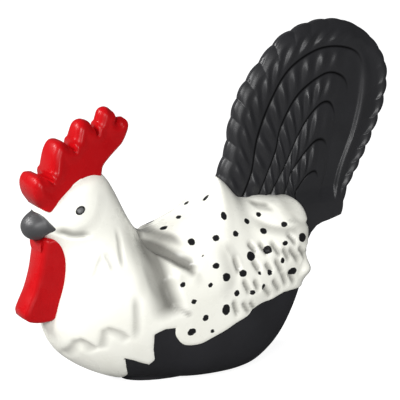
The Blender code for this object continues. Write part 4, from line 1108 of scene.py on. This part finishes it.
# %% Model the comb and the wattle
FITTING_CELL = 0.33 * MM
FITTING_LEVELS = (0.0, 0.08 * MM, 0.25 * MM, 0.5 * MM, 0.85 * MM)
COMB_THICK, COMB_THIN = 5.2, 2.2
COMB_FRONT_ROUND, WATTLE_FRONT_ROUND, SIDE_ROUND = 2.6 * MM, 1.5 * MM, 1.1 * MM
TONGUE_HEIGHT, TONGUE_REACH, TONGUE_FADE = 0.45 * MM, 4.8 * MM, 3.2 * MM
WATTLE_HALF, WATTLE_GAIN = 3.7, 0.16


def front_gap(flat, points, spans):
    """Distance to the lobes' front edges alone."""
    drawn = side_view(points)
    return np.min([nearest(flat, flowing(drawn[a:b + 1]))[0] for a, b in spans], axis=0)


def rounded(half, gap, depth, front_round):
    """Take the roundness of the front edges, and of all others, off a half thickness."""
    return half - round_edge(gap, front_round) - round_edge(depth, SIDE_ROUND) * smooth(gap / front_round)


def comb_half_thickness(flat, depth):
    """A wedge that thins to the rear and upwards, with a plump tongue along the front of each lobe."""
    x, z = (flat[:, 0] + SHIFT) / MM, flat[:, 1] / MM
    plate = np.clip(COMB_THICK - 0.1 * (x + 45.0) - 0.09 * (z - 52.0), COMB_THIN, COMB_THICK) * MM
    gap = front_gap(flat, COMB_OUTLINE, COMB_FRONTS)
    tongue = TONGUE_HEIGHT * smooth((TONGUE_REACH - gap) / TONGUE_FADE) * smooth((z - 50.0) / 4.0)
    return rounded(plate + tongue, gap, depth, COMB_FRONT_ROUND)


def wattle_half_thickness(flat, depth):
    """Thicker towards the breast, with a rounder front."""
    gap = front_gap(flat, WATTLE_OUTLINE, WATTLE_FRONTS)
    behind = np.clip((flat[:, 0] + SHIFT) / MM + 48.0, 0, 5)
    return rounded((WATTLE_HALF + WATTLE_GAIN * behind) * MM, gap, depth, WATTLE_FRONT_ROUND)


comb = slab("comb_painted", comb_loop, FITTING_CELL, FITTING_LEVELS, comb_half_thickness)
wattle = slab("wattle_painted", wattle_loop, FITTING_CELL, FITTING_LEVELS, wattle_half_thickness)
tell(comb)
tell(wattle)

# %% [markdown]
# ## The outline of the beak
# The beak is a blunt cone that caps the front of the head and runs back to a point at the corner of
# the mouth. A cone primitive has the wrong, straight sides, so its side view is drawn: an arc round
# the tip that is kept in front of the seat line, which follows the edge of the grey paint.


# %% Outline of the beak
BEAK_ROOT = (-44.6, 45.6)
BEAK_DROP = math.radians(14.0)
BEAK_LENGTH, BEAK_HALF_HEIGHT, BEAK_HALF_WIDTH = 6.7 * MM, 4.1 * MM, 5.0 * MM
BEAK_FULLNESS = 0.8
BEAK_SEAT = ((-48.6, 50.2), (-47.9, 49.2), (-46.9, 48.2), (-45.9, 46.8),
             (-44.6, 44.9), (-46.2, 43.6), (-47.3, 42.2), (-47.6, 40.6))
forward = np.array((-math.cos(BEAK_DROP), -math.sin(BEAK_DROP)))
upward = np.array((-math.sin(BEAK_DROP), math.cos(BEAK_DROP)))
beak_root = side_view([BEAK_ROOT])[0]


def beak_profile():
    """The cone's outline from its top, round the tip, to its bottom."""
    turn = np.linspace(-math.pi / 2, math.pi / 2, 41)
    ahead = np.cos(turn) * BEAK_LENGTH
    rise = -np.sign(turn) * np.abs(np.sin(turn)) ** BEAK_FULLNESS * BEAK_HALF_HEIGHT
    return beak_root + ahead[:, None] * forward + rise[:, None] * upward


beak_front = beak_profile()
seat_line = flowing(side_view(BEAK_SEAT), 4)
seat_side = np.vstack([seat_line, side_view([(-70.0, 38.0), (-70.0, 52.0)])])
kept_front = beak_front[inside(beak_front, seat_side)]
beak_loop = np.vstack([kept_front, seat_line[inside(seat_line, beak_front)][::-1]])
print(len(kept_front), "points of the beak lie in front of its seat")

# %% [markdown]
# ## The beak cap
# It is made as a slab too: its half thickness is the cone's or, where the head is wider than the
# cone, a thin skin over the head, and the two are blended. Shrinkwrap could lay the skin on, but rays
# cast at the coat give the head's width as a number, which the blend needs.


# %% Model the beak
BEAK_CELL = 0.25 * MM
BEAK_LEVELS = (0.0, 0.05 * MM, 0.15 * MM, 0.35 * MM, 0.7 * MM)
BEAK_SKIN, SKIN_RISE, SKIN_LIFT = 0.35 * MM, 0.6 * MM, 0.02 * MM
BEAK_BLEND = 0.4 * MM
RAY_START = 0.1


def ray_tree(thing):
    """The piece in the form that rays are cast at."""
    return BVHTree.FromObject(thing, bpy.context.evaluated_depsgraph_get())


def cast(tree, x, z, side):
    """Where a ray from that side meets the piece at a side-view place, and the way it faces there."""
    return tree.ray_cast(Vector((x, side * RAY_START, z)), Vector((0, -side, 0)))[:2]


def half_width_of(thing, flat):
    """Half the width of a piece at side-view places, or 0 beside it."""
    tree = ray_tree(thing)
    spots = [cast(tree, x, z, -1)[0] for x, z in flat]
    return np.array([-spot.y if spot else 0.0 for spot in spots])


def beak_half_thickness(flat, depth):
    off = flat - beak_root
    ahead = np.clip(off @ forward / BEAK_LENGTH, 0, 1)
    size = np.sqrt(1 - ahead**2) ** BEAK_FULLNESS
    rise = off @ upward / (BEAK_HALF_HEIGHT * np.maximum(size, 1e-6))
    cone = BEAK_HALF_WIDTH * size * np.sqrt(np.clip(1 - rise**2, 0, 1))
    seat_gap = nearest(flat, seat_line)[0]
    head = half_width_of(coat, flat)
    skin = head + BEAK_SKIN * np.sqrt(np.clip(seat_gap / SKIN_RISE, 0, 1)) + SKIN_LIFT
    skin = np.where(head > 0, skin, 0)
    return (cone + skin + np.sqrt((cone - skin) ** 2 + BEAK_BLEND**2)) / 2 - BEAK_BLEND / 2


beak = slab("beak_cap", beak_loop, BEAK_CELL, BEAK_LEVELS, beak_half_thickness,
            open_line=seat_line, closed_line=kept_front)
tell(beak)

# %% [markdown]
# ## The eyes
# Each eye is a flat painted bead, a leaning oval. It is a UV sphere pressed flat and laid on the
# head. It could be turned into place by hand, but the head slopes there, and a ray cast from the side
# gives the place and the way the head faces exactly, for both sides.


# %% Model the eyes
EYE_PLACE = (-39.0, 49.7)
EYE_LONG, EYE_SHORT, EYE_BULGE = 1.35 * MM, 1.0 * MM, 0.35 * MM
EYE_TILT = math.radians(32)


def make_eye(name, side):
    """A pressed ball: its long axis leans back in the side view and its flat way faces outwards."""
    x, z = side_view([EYE_PLACE])[0]
    spot, facing = cast(ray_tree(coat), x, z, side)
    long_way = Vector((math.cos(EYE_TILT), 0, math.sin(EYE_TILT)))
    long_way = (long_way - facing * long_way.dot(facing)).normalized()
    short_way = facing.cross(long_way)
    start_alone()
    bpy.ops.mesh.primitive_uv_sphere_add(segments=32, ring_count=24, radius=1)
    eye = name_it(name)
    ball = places_of(eye)
    ways = np.array([long_way * EYE_LONG, short_way * EYE_SHORT, facing * EYE_BULGE])
    put_places(eye, ball @ ways + np.array(spot))
    store(eye, "rim", np.hypot(ball[:, 0], ball[:, 1]))
    edit_all(eye, face_outwards)
    return eye


eyes = [make_eye("eye_bead_left", -1), make_eye("eye_bead_right", 1)]
for eye in eyes:
    tell(eye)

# %% [markdown]
# ## Spots on the wings
# The spots are single dabs of a small brush, no two alike. Each is a centre and two sizes in the
# side view. The right side doesn't show, and no hand repeats itself, so its dabs are the left ones
# moved and sized a little by chance, with a fixed seed. Those at the ridge would double the left
# ones, and are left out for the one dab that shows beyond the back.

# %% Dabs of the brush
# x, z, width, height (mm)
DABS = (
    (0.5, 45.9, 2.4, 1.2), (-6.9, 41.35, 1.5, 1.8), (-11.9, 39.4, 2.2, 1.8),
    (1.6, 42.7, 1.6, 2.6), (-8.5, 37.5, 2.0, 2.2), (-2.2, 38.0, 1.9, 1.7), (3.6, 38.3, 1.9, 1.6),
    (8.4, 40.3, 1.8, 1.6), (12.7, 41.2, 1.4, 1.5), (12.3, 37.6, 2.1, 1.8), (18.4, 38.6, 1.8, 1.5),
    (23.1, 34.7, 2.6, 2.4), (17.3, 34.2, 1.7, 1.3), (12.1, 33.1, 2.4, 2.1), (6.6, 32.5, 2.6, 2.6),
    (-7.0, 34.4, 0.7, 0.7), (-4.1, 31.7, 2.1, 1.5), (15.9, 30.0, 1.3, 1.7), (-1.6, 28.6, 2.5, 2.2),
    (3.3, 28.8, 2.3, 1.9), (8.5, 27.9, 1.2, 1.0), (11.6, 27.5, 1.7, 1.4), (19.1, 26.4, 3.0, 2.1),
    (9.4, 24.3, 1.3, 1.6), (-6.5, 27.3, 1.4, 1.3), (5.9, 23.4, 1.7, 1.3), (1.0, 24.1, 1.6, 1.8),
    (-14.2, 28.5, 1.5, 1.4), (-11.5, 23.8, 1.7, 1.4), (-2.2, 20.2, 2.4, 3.0), (-8.2, 18.9, 1.9, 1.8),
    (-12.1, 15.7, 2.5, 2.0), (-6.2, 15.0, 1.5, 1.1),
)
BEYOND_RIDGE = (-2.2, 43.5, 1.6, 1.8)
RIDGE_HEIGHT = 40.5
rng = np.random.default_rng(7)
moves = [rng.uniform(low, high, len(DABS)) for low, high in ((-1.4, 1.4), (-1.2, 1.2), (0.8, 1.15))]
right_dabs = [(x + dx, z + dz, w * s, h * s) for (x, z, w, h), dx, dz, s in zip(DABS, *moves)]
right_dabs = [dab for dab in right_dabs if dab[1] < RIDGE_HEIGHT] + [BEYOND_RIDGE]
print(len(DABS), "dabs on the left,", len(right_dabs), "on the right")

# %% [markdown]
# ## Dabs on the surface
# Painting the dabs into an image would need a UV map and shows its pixels close up. Instead the
# distance to the nearest dab goes into a vertex attribute, and the paint turns black where it falls
# below zero. The edges stay crisp, however fine or coarse the mesh is. Each dab lies flat on the
# slope that five rays find under it, so it isn't stretched where the body turns away.


# %% Measure the distance to the dabs
FURTHEST_KEPT, DAB_DEPTH, RAY_SPREAD = 3.0, 0.8, 1.2
RAYS = ((0, 0), (RAY_SPREAD, 0), (-RAY_SPREAD, 0), (0, RAY_SPREAD), (0, -RAY_SPREAD))


def dab_distance(places, dabs, side):
    """Distance in millimetres to the nearest dab on one side, negative inside one."""
    tree = ray_tree(coat)
    best = np.full(len(places), FURTHEST_KEPT)
    for x, z, width, height in dabs:
        flat_x, flat_z = side_view([(x, z)])[0]
        hits = [cast(tree, flat_x + dx * MM, flat_z + dz * MM, side) for dx, dz in RAYS]
        spot = hits[0][0]
        if spot is None:
            continue
        facing = sum((facing for _, facing in hits if facing), Vector()).normalized()
        level = (Vector((1, 0, 0)) - facing * facing.x).normalized()
        rising = facing.cross(level)
        off = (places - np.array(spot)) / MM
        ratio = np.hypot(off @ np.array(level) / (width / 2), off @ np.array(rising) / (height / 2))
        above = np.maximum(np.abs(off @ np.array(facing)) - DAB_DEPTH, 0)
        best = np.minimum(best, (ratio - 1) * min(width, height) / 2 + above)
    return best


coat_places = places_of(coat)
to_dab = np.minimum(dab_distance(coat_places, DABS, -1), dab_distance(coat_places, right_dabs, 1))
store(coat, "dab", to_dab)
print(int((to_dab < 0).sum()), "vertices lie in a dab")

# %% [markdown]
# ## White paint with dabs and painted shade in the folds
# The coat is an off-white gloss. Three layers make it: the clean paint, a grey painted shade in and beside
# the folds, and the black dabs, which are duller. Separate pieces for the dabs would stand proud, so they
# are part of the paint, and a little noise on their distance leaves a ragged brush edge.


# %% The coat's paint
WHITE, WHITE_OTHER, WHITE_ROUGH, WHITE_GLOSS = (0.87, 0.865, 0.79), (0.84, 0.835, 0.755), 0.3, 0.3
# grey of the painted shade, and how far it darkens the white at most
SHADE_GREY, SHADE_MOST = (0.17, 0.166, 0.147), 0.9
DAB_BLACK, DAB_GLOSS = (0.012, 0.012, 0.013), 0.08
RAGGED_SIZE, RAGGED_DEPTH = 1.2 * MM, 0.5


def attribute(tree, name):
    made = node(tree, "ShaderNodeAttribute")
    made.attribute_name = name
    return made.outputs["Fac"]


def math_node(tree, operation, first, second):
    made = node(tree, "ShaderNodeMath", operation=operation)
    for socket, value in zip(made.inputs, (first, second)):
        if isinstance(value, bpy.types.NodeSocket):
            tree.links.new(value, socket)
        else:
            socket.default_value = value
    return made.outputs[0]


def coat_paint():
    material, tree, shader, place = paint("white_coat_paint", WHITE, WHITE_OTHER, WHITE_ROUGH, WHITE_GLOSS)
    clean = shader.inputs["Base Color"].links[0].from_socket
    uneven = math_node(tree, "SUBTRACT", noise(tree, place, RAGGED_SIZE), 0.5)
    ragged = math_node(tree, "MULTIPLY", uneven, RAGGED_DEPTH)
    distance = math_node(tree, "ADD", attribute(tree, "dab"), ragged)
    mask = ramp(tree, math_node(tree, "ADD", distance, 0.5), grey(1.0), grey(0.0), 0.44, 0.56)
    # painted shade: the white turns grey in and beside the folds
    shade_amount = ramp(tree, attribute(tree, "painted_crease_shade"), grey(0.0), grey(SHADE_MOST), 0.06, 1.0)
    shaded_white = mix(tree, shade_amount, clean, SHADE_GREY)
    tree.links.new(mix(tree, mask, shaded_white, DAB_BLACK), shader.inputs["Base Color"])
    gloss = ramp(tree, mask, grey(WHITE_GLOSS), grey(DAB_GLOSS), 0.0, 1.0)
    tree.links.new(gloss, shader.inputs["Specular IOR Level"])
    return material


white = coat_paint()
print(white.name, "has", len(white.node_tree.nodes), "nodes")

# %% [markdown]
# ## The other paints
# The red is a clean gloss, the belly is matt, the beak has a soft sheen, and the tail is a glossy
# near-black that picks up every ridge; at the bottom of its creases it is less glossy and darkened by
# painted shade. The eye is grey with a dark rim. All start from the same paint helper, and two add a layer
# that reads an attribute.


# %% Paint for each piece
TAIL_GLOSS = 0.3
EYE_GREY, EYE_RIM = grey(0.11), grey(0.008)


def tail_paint():
    """Black gloss, less glossy at the bottom of the creases, where painted shade darkens it nearly to
    black.
    """
    material, tree, shader, place = paint(
        "tail_black_paint", (0.0155, 0.0155, 0.017), (0.0185, 0.0185, 0.0205), 0.32, TAIL_GLOSS, 0.04)
    shade_and_dulling = attribute(tree, "groove")
    clean = shader.inputs["Base Color"].links[0].from_socket
    # painted shade: the bottoms of the creases are darkened nearly to black
    tree.links.new(mix(tree, shade_and_dulling, clean, grey(0.001)), shader.inputs["Base Color"])
    gloss = math_node(tree, "MULTIPLY", math_node(tree, "SUBTRACT", 1.0, shade_and_dulling), TAIL_GLOSS)
    tree.links.new(gloss, shader.inputs["Specular IOR Level"])
    return material


def eye_paint():
    """Grey in the middle with a dark rim, from the rim attribute."""
    material, tree, shader, place = paint("eye_grey_paint", EYE_GREY, EYE_GREY, 0.3, 0.3)
    clean = shader.inputs["Base Color"].links[0].from_socket
    ring = ramp(tree, attribute(tree, "rim"), grey(0.0), grey(1.0), 0.55, 0.75)
    tree.links.new(mix(tree, ring, clean, EYE_RIM), shader.inputs["Base Color"])
    return material


def dress(thing, material):
    thing.data.materials.clear()
    thing.data.materials.append(material)


black_matt = paint("belly_black_paint", (0.016, 0.016, 0.018), (0.0185, 0.0185, 0.021), 0.6, 0.15)[0]
black_gloss = tail_paint()
red = paint("red_gloss_paint", (0.41, 0.003, 0.005), (0.37, 0.0025, 0.0045), 0.3, 0.14)[0]
beak_grey = paint("beak_grey_paint", (0.040, 0.040, 0.042), (0.034, 0.034, 0.036), 0.48, 0.5)[0]
eye_grey = eye_paint()
CREASE_ANGLE = math.radians(50)
for thing, material in ((coat, white), (belly, black_matt), (tail, black_gloss), (comb, red), (wattle, red),
                        (beak, beak_grey), (eyes[0], eye_grey), (eyes[1], eye_grey)):
    dress(thing, material)
    pick(thing)
    bpy.ops.object.shade_smooth_by_angle(angle=CREASE_ANGLE)
    print(thing.name, "wears", material.name)

# %% [markdown]
# ## Metal and inner pieces
# The screws are bright steel with faint turning marks, the weight is rough cast iron, and the plate
# under the belly is painted like the belly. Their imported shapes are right, so modelling them again
# would gain nothing, and they only get a finish.


# %% Finishes of the carried-over parts
def metal(name, light, dark, rough, grain):
    material, tree, shader, place = new_material(name)
    shader.inputs["Metallic"].default_value = 1.0
    tree.links.new(ramp(tree, noise(tree, place, grain), light, dark), shader.inputs["Base Color"])
    wander = noise(tree, place, grain / 2)
    tree.links.new(ramp(tree, wander, grey(rough - 0.08), grey(rough + 0.08)), shader.inputs["Roughness"])
    bumps(tree, shader, ((noise(tree, place, grain / 3), 0.3, 0.02 * MM),))
    return material


steel = metal("steel", (0.6, 0.6, 0.61), (0.5, 0.5, 0.51), 0.3, 0.5 * MM)
iron = metal("cast_iron", (0.2, 0.19, 0.18), (0.12, 0.115, 0.11), 0.6, 1.5 * MM)
carried = {"base_plate": black_matt, "base_screw_front": steel, "base_screw_rear": steel,
           "tail_pin": steel, "weight": iron}
for name, material in carried.items():
    dress(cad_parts[name], material)
print("carried over:", ", ".join(carried))

# %% [markdown]
# ## Which piece stands for which part
# Each new piece rides on the figure's one body and hides the plain solids that it stands for. One
# table says it for all pieces, with a finish slot for each that nothing here reads.

# %% Tie the pieces to the parts
PIECES = (
    (coat, "speckled_paint", ("hackle_left", "hackle_right", "saddle_left", "saddle_right")),
    (belly, "black_paint", ("belly_left", "belly_right")),
    (tail, "tail_paint", ("tail",)),
    (comb, "red_paint", ("comb",)),
    (wattle, "red_paint", ("wattle",)),
    (beak, "grey_paint", ("beak",)),
    (eyes[0], "grey_paint", ("eye_left",)),
    (eyes[1], "grey_paint", ("eye_right",)),
)
for piece, slot, nodes in PIECES:
    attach(piece, "root")
    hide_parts(*nodes)
print(len(PIECES), "pieces stand for", sum(len(nodes) for _, _, nodes in PIECES), "parts")

# %% [markdown]
# ## Floor and background
# The picture is a plain studio shot, white all round. More light would make the floor white but burn
# out the figure, so the floor and the sky are brighter only for the rays that the camera sends. The
# floor still takes the figure's shadow, and the sky gives the figure only a faint, even light.


# %% Floor and sky
FLOOR_LIFT, SKY_STRENGTH = 0.9, 0.16


def by_camera(tree, unseen, seen):
    """One shader for the light on the figure, and another for what the camera sees."""
    path = node(tree, "ShaderNodeLightPath")
    choose = node(tree, "ShaderNodeMixShader")
    tree.links.new(path.outputs["Is Camera Ray"], choose.inputs[0])
    tree.links.new(unseen.outputs[0], choose.inputs[1])
    tree.links.new(seen.outputs[0], choose.inputs[2])
    return choose.outputs[0]


def floor_material():
    material, tree, shader, place = new_material("studio_floor")
    tree.links.new(ramp(tree, noise(tree, place, 0.4), grey(0.3), grey(0.32)), shader.inputs["Base Color"])
    shader.inputs["Roughness"].default_value = 0.9
    shader.inputs["Specular IOR Level"].default_value = 0.0
    lift = node(tree, "ShaderNodeEmission", Strength=FLOOR_LIFT)
    both = node(tree, "ShaderNodeAddShader")
    tree.links.new(shader.outputs[0], both.inputs[0])
    tree.links.new(lift.outputs[0], both.inputs[1])
    output = next(n for n in tree.nodes if n.type == "OUTPUT_MATERIAL")
    tree.links.new(by_camera(tree, shader, both), output.inputs["Surface"])
    return material


start_alone()
bpy.ops.mesh.primitive_plane_add(size=6.0, location=(0, 0, 0))
floor = name_it("floor")
dress(floor, floor_material())

world = bpy.data.worlds.new("studio")
bpy.context.scene.world = world
world.use_nodes = True
sky_tree = world.node_tree
sky = sky_tree.nodes["Background"]
sky.inputs["Color"].default_value = (0.93, 0.96, 1.0, 1)
sky.inputs["Strength"].default_value = SKY_STRENGTH
bright = node(sky_tree, "ShaderNodeBackground", Strength=1.0)
bright.inputs["Color"].default_value = (1, 1, 1, 1)
sky_tree.links.new(by_camera(sky_tree, sky, bright), sky_tree.nodes["World Output"].inputs["Surface"])
print("the sky lights the figure at", SKY_STRENGTH)

# %% [markdown]
# ## Lamps
# Highlights on the comb and the tail show where the lamps stood: two high in front of the beak, and
# two weaker ones on the camera's side. A sun lamp would give one hard shadow, so round area lamps are
# used. They are large beside the figure, which keeps its shadows soft.


# %% Lamps
# place (m), size (m), power (W), colour
LAMPS = {
    "key": ((-0.57, 0.40, 0.53), 0.25, 5.4, (1.0, 0.99, 0.98)),
    "side": ((-0.69, 0.06, 0.53), 0.25, 4.6, (1, 1, 1)),
    "fill": ((-0.44, -0.63, 0.40), 0.25, 4.5, (1, 1, 1)),
    "front": ((-0.07, -0.84, 0.16), 0.20, 2.2, (1, 1, 1)),
}
LAMP_AIM = Vector((0, 0, 0.04))


def add_to_scene(name, data, place, looking):
    """A lamp or a camera at a place, turned to look that way."""
    made = bpy.data.objects.new(name, data)
    bpy.context.scene.collection.objects.link(made)
    made.location = place
    made.rotation_euler = looking.to_track_quat("-Z", "Y").to_euler()
    return made


for name, (place, size, power, colour) in LAMPS.items():
    data = bpy.data.lights.new(name, "AREA")
    data.shape = "DISK"
    data.size, data.energy, data.color = size, power, colour
    add_to_scene(name, data, place, LAMP_AIM - Vector(place))
print(len(LAMPS), "lamps,", round(sum(lamp[2] for lamp in LAMPS.values()), 1), "W in all")

# %% [markdown]
# ## Camera
# The camera looks down a little on the figure's left side, 30 degrees round to the front. A close
# camera with a short lens would swell the head, so it stands well away with a long one. The lens
# follows from the width that the picture takes in: 400 pixels of 0.26 mm.

# %% Camera
AZIMUTH, ELEVATION, DISTANCE = math.radians(-30), math.radians(16), 0.60
TARGET = Vector((0.0, 0.0, 44.8 * MM)) - Vector((SHIFT, 0, 0))
PIXEL, PICTURE_WIDTH, SENSOR = 0.26 * MM, 400, 36.0
back = Vector((math.sin(AZIMUTH) * math.cos(ELEVATION),
               -math.cos(AZIMUTH) * math.cos(ELEVATION),
               math.sin(ELEVATION)))
view = bpy.data.cameras.new("camera")
view.sensor_width = SENSOR
view.lens = SENSOR * DISTANCE / (PIXEL * PICTURE_WIDTH)
bpy.context.scene.camera = add_to_scene("camera", view, TARGET + back * DISTANCE, -back)
bpy.context.scene.view_settings.view_transform = "Standard"
print("lens", round(view.lens, 1), "mm")
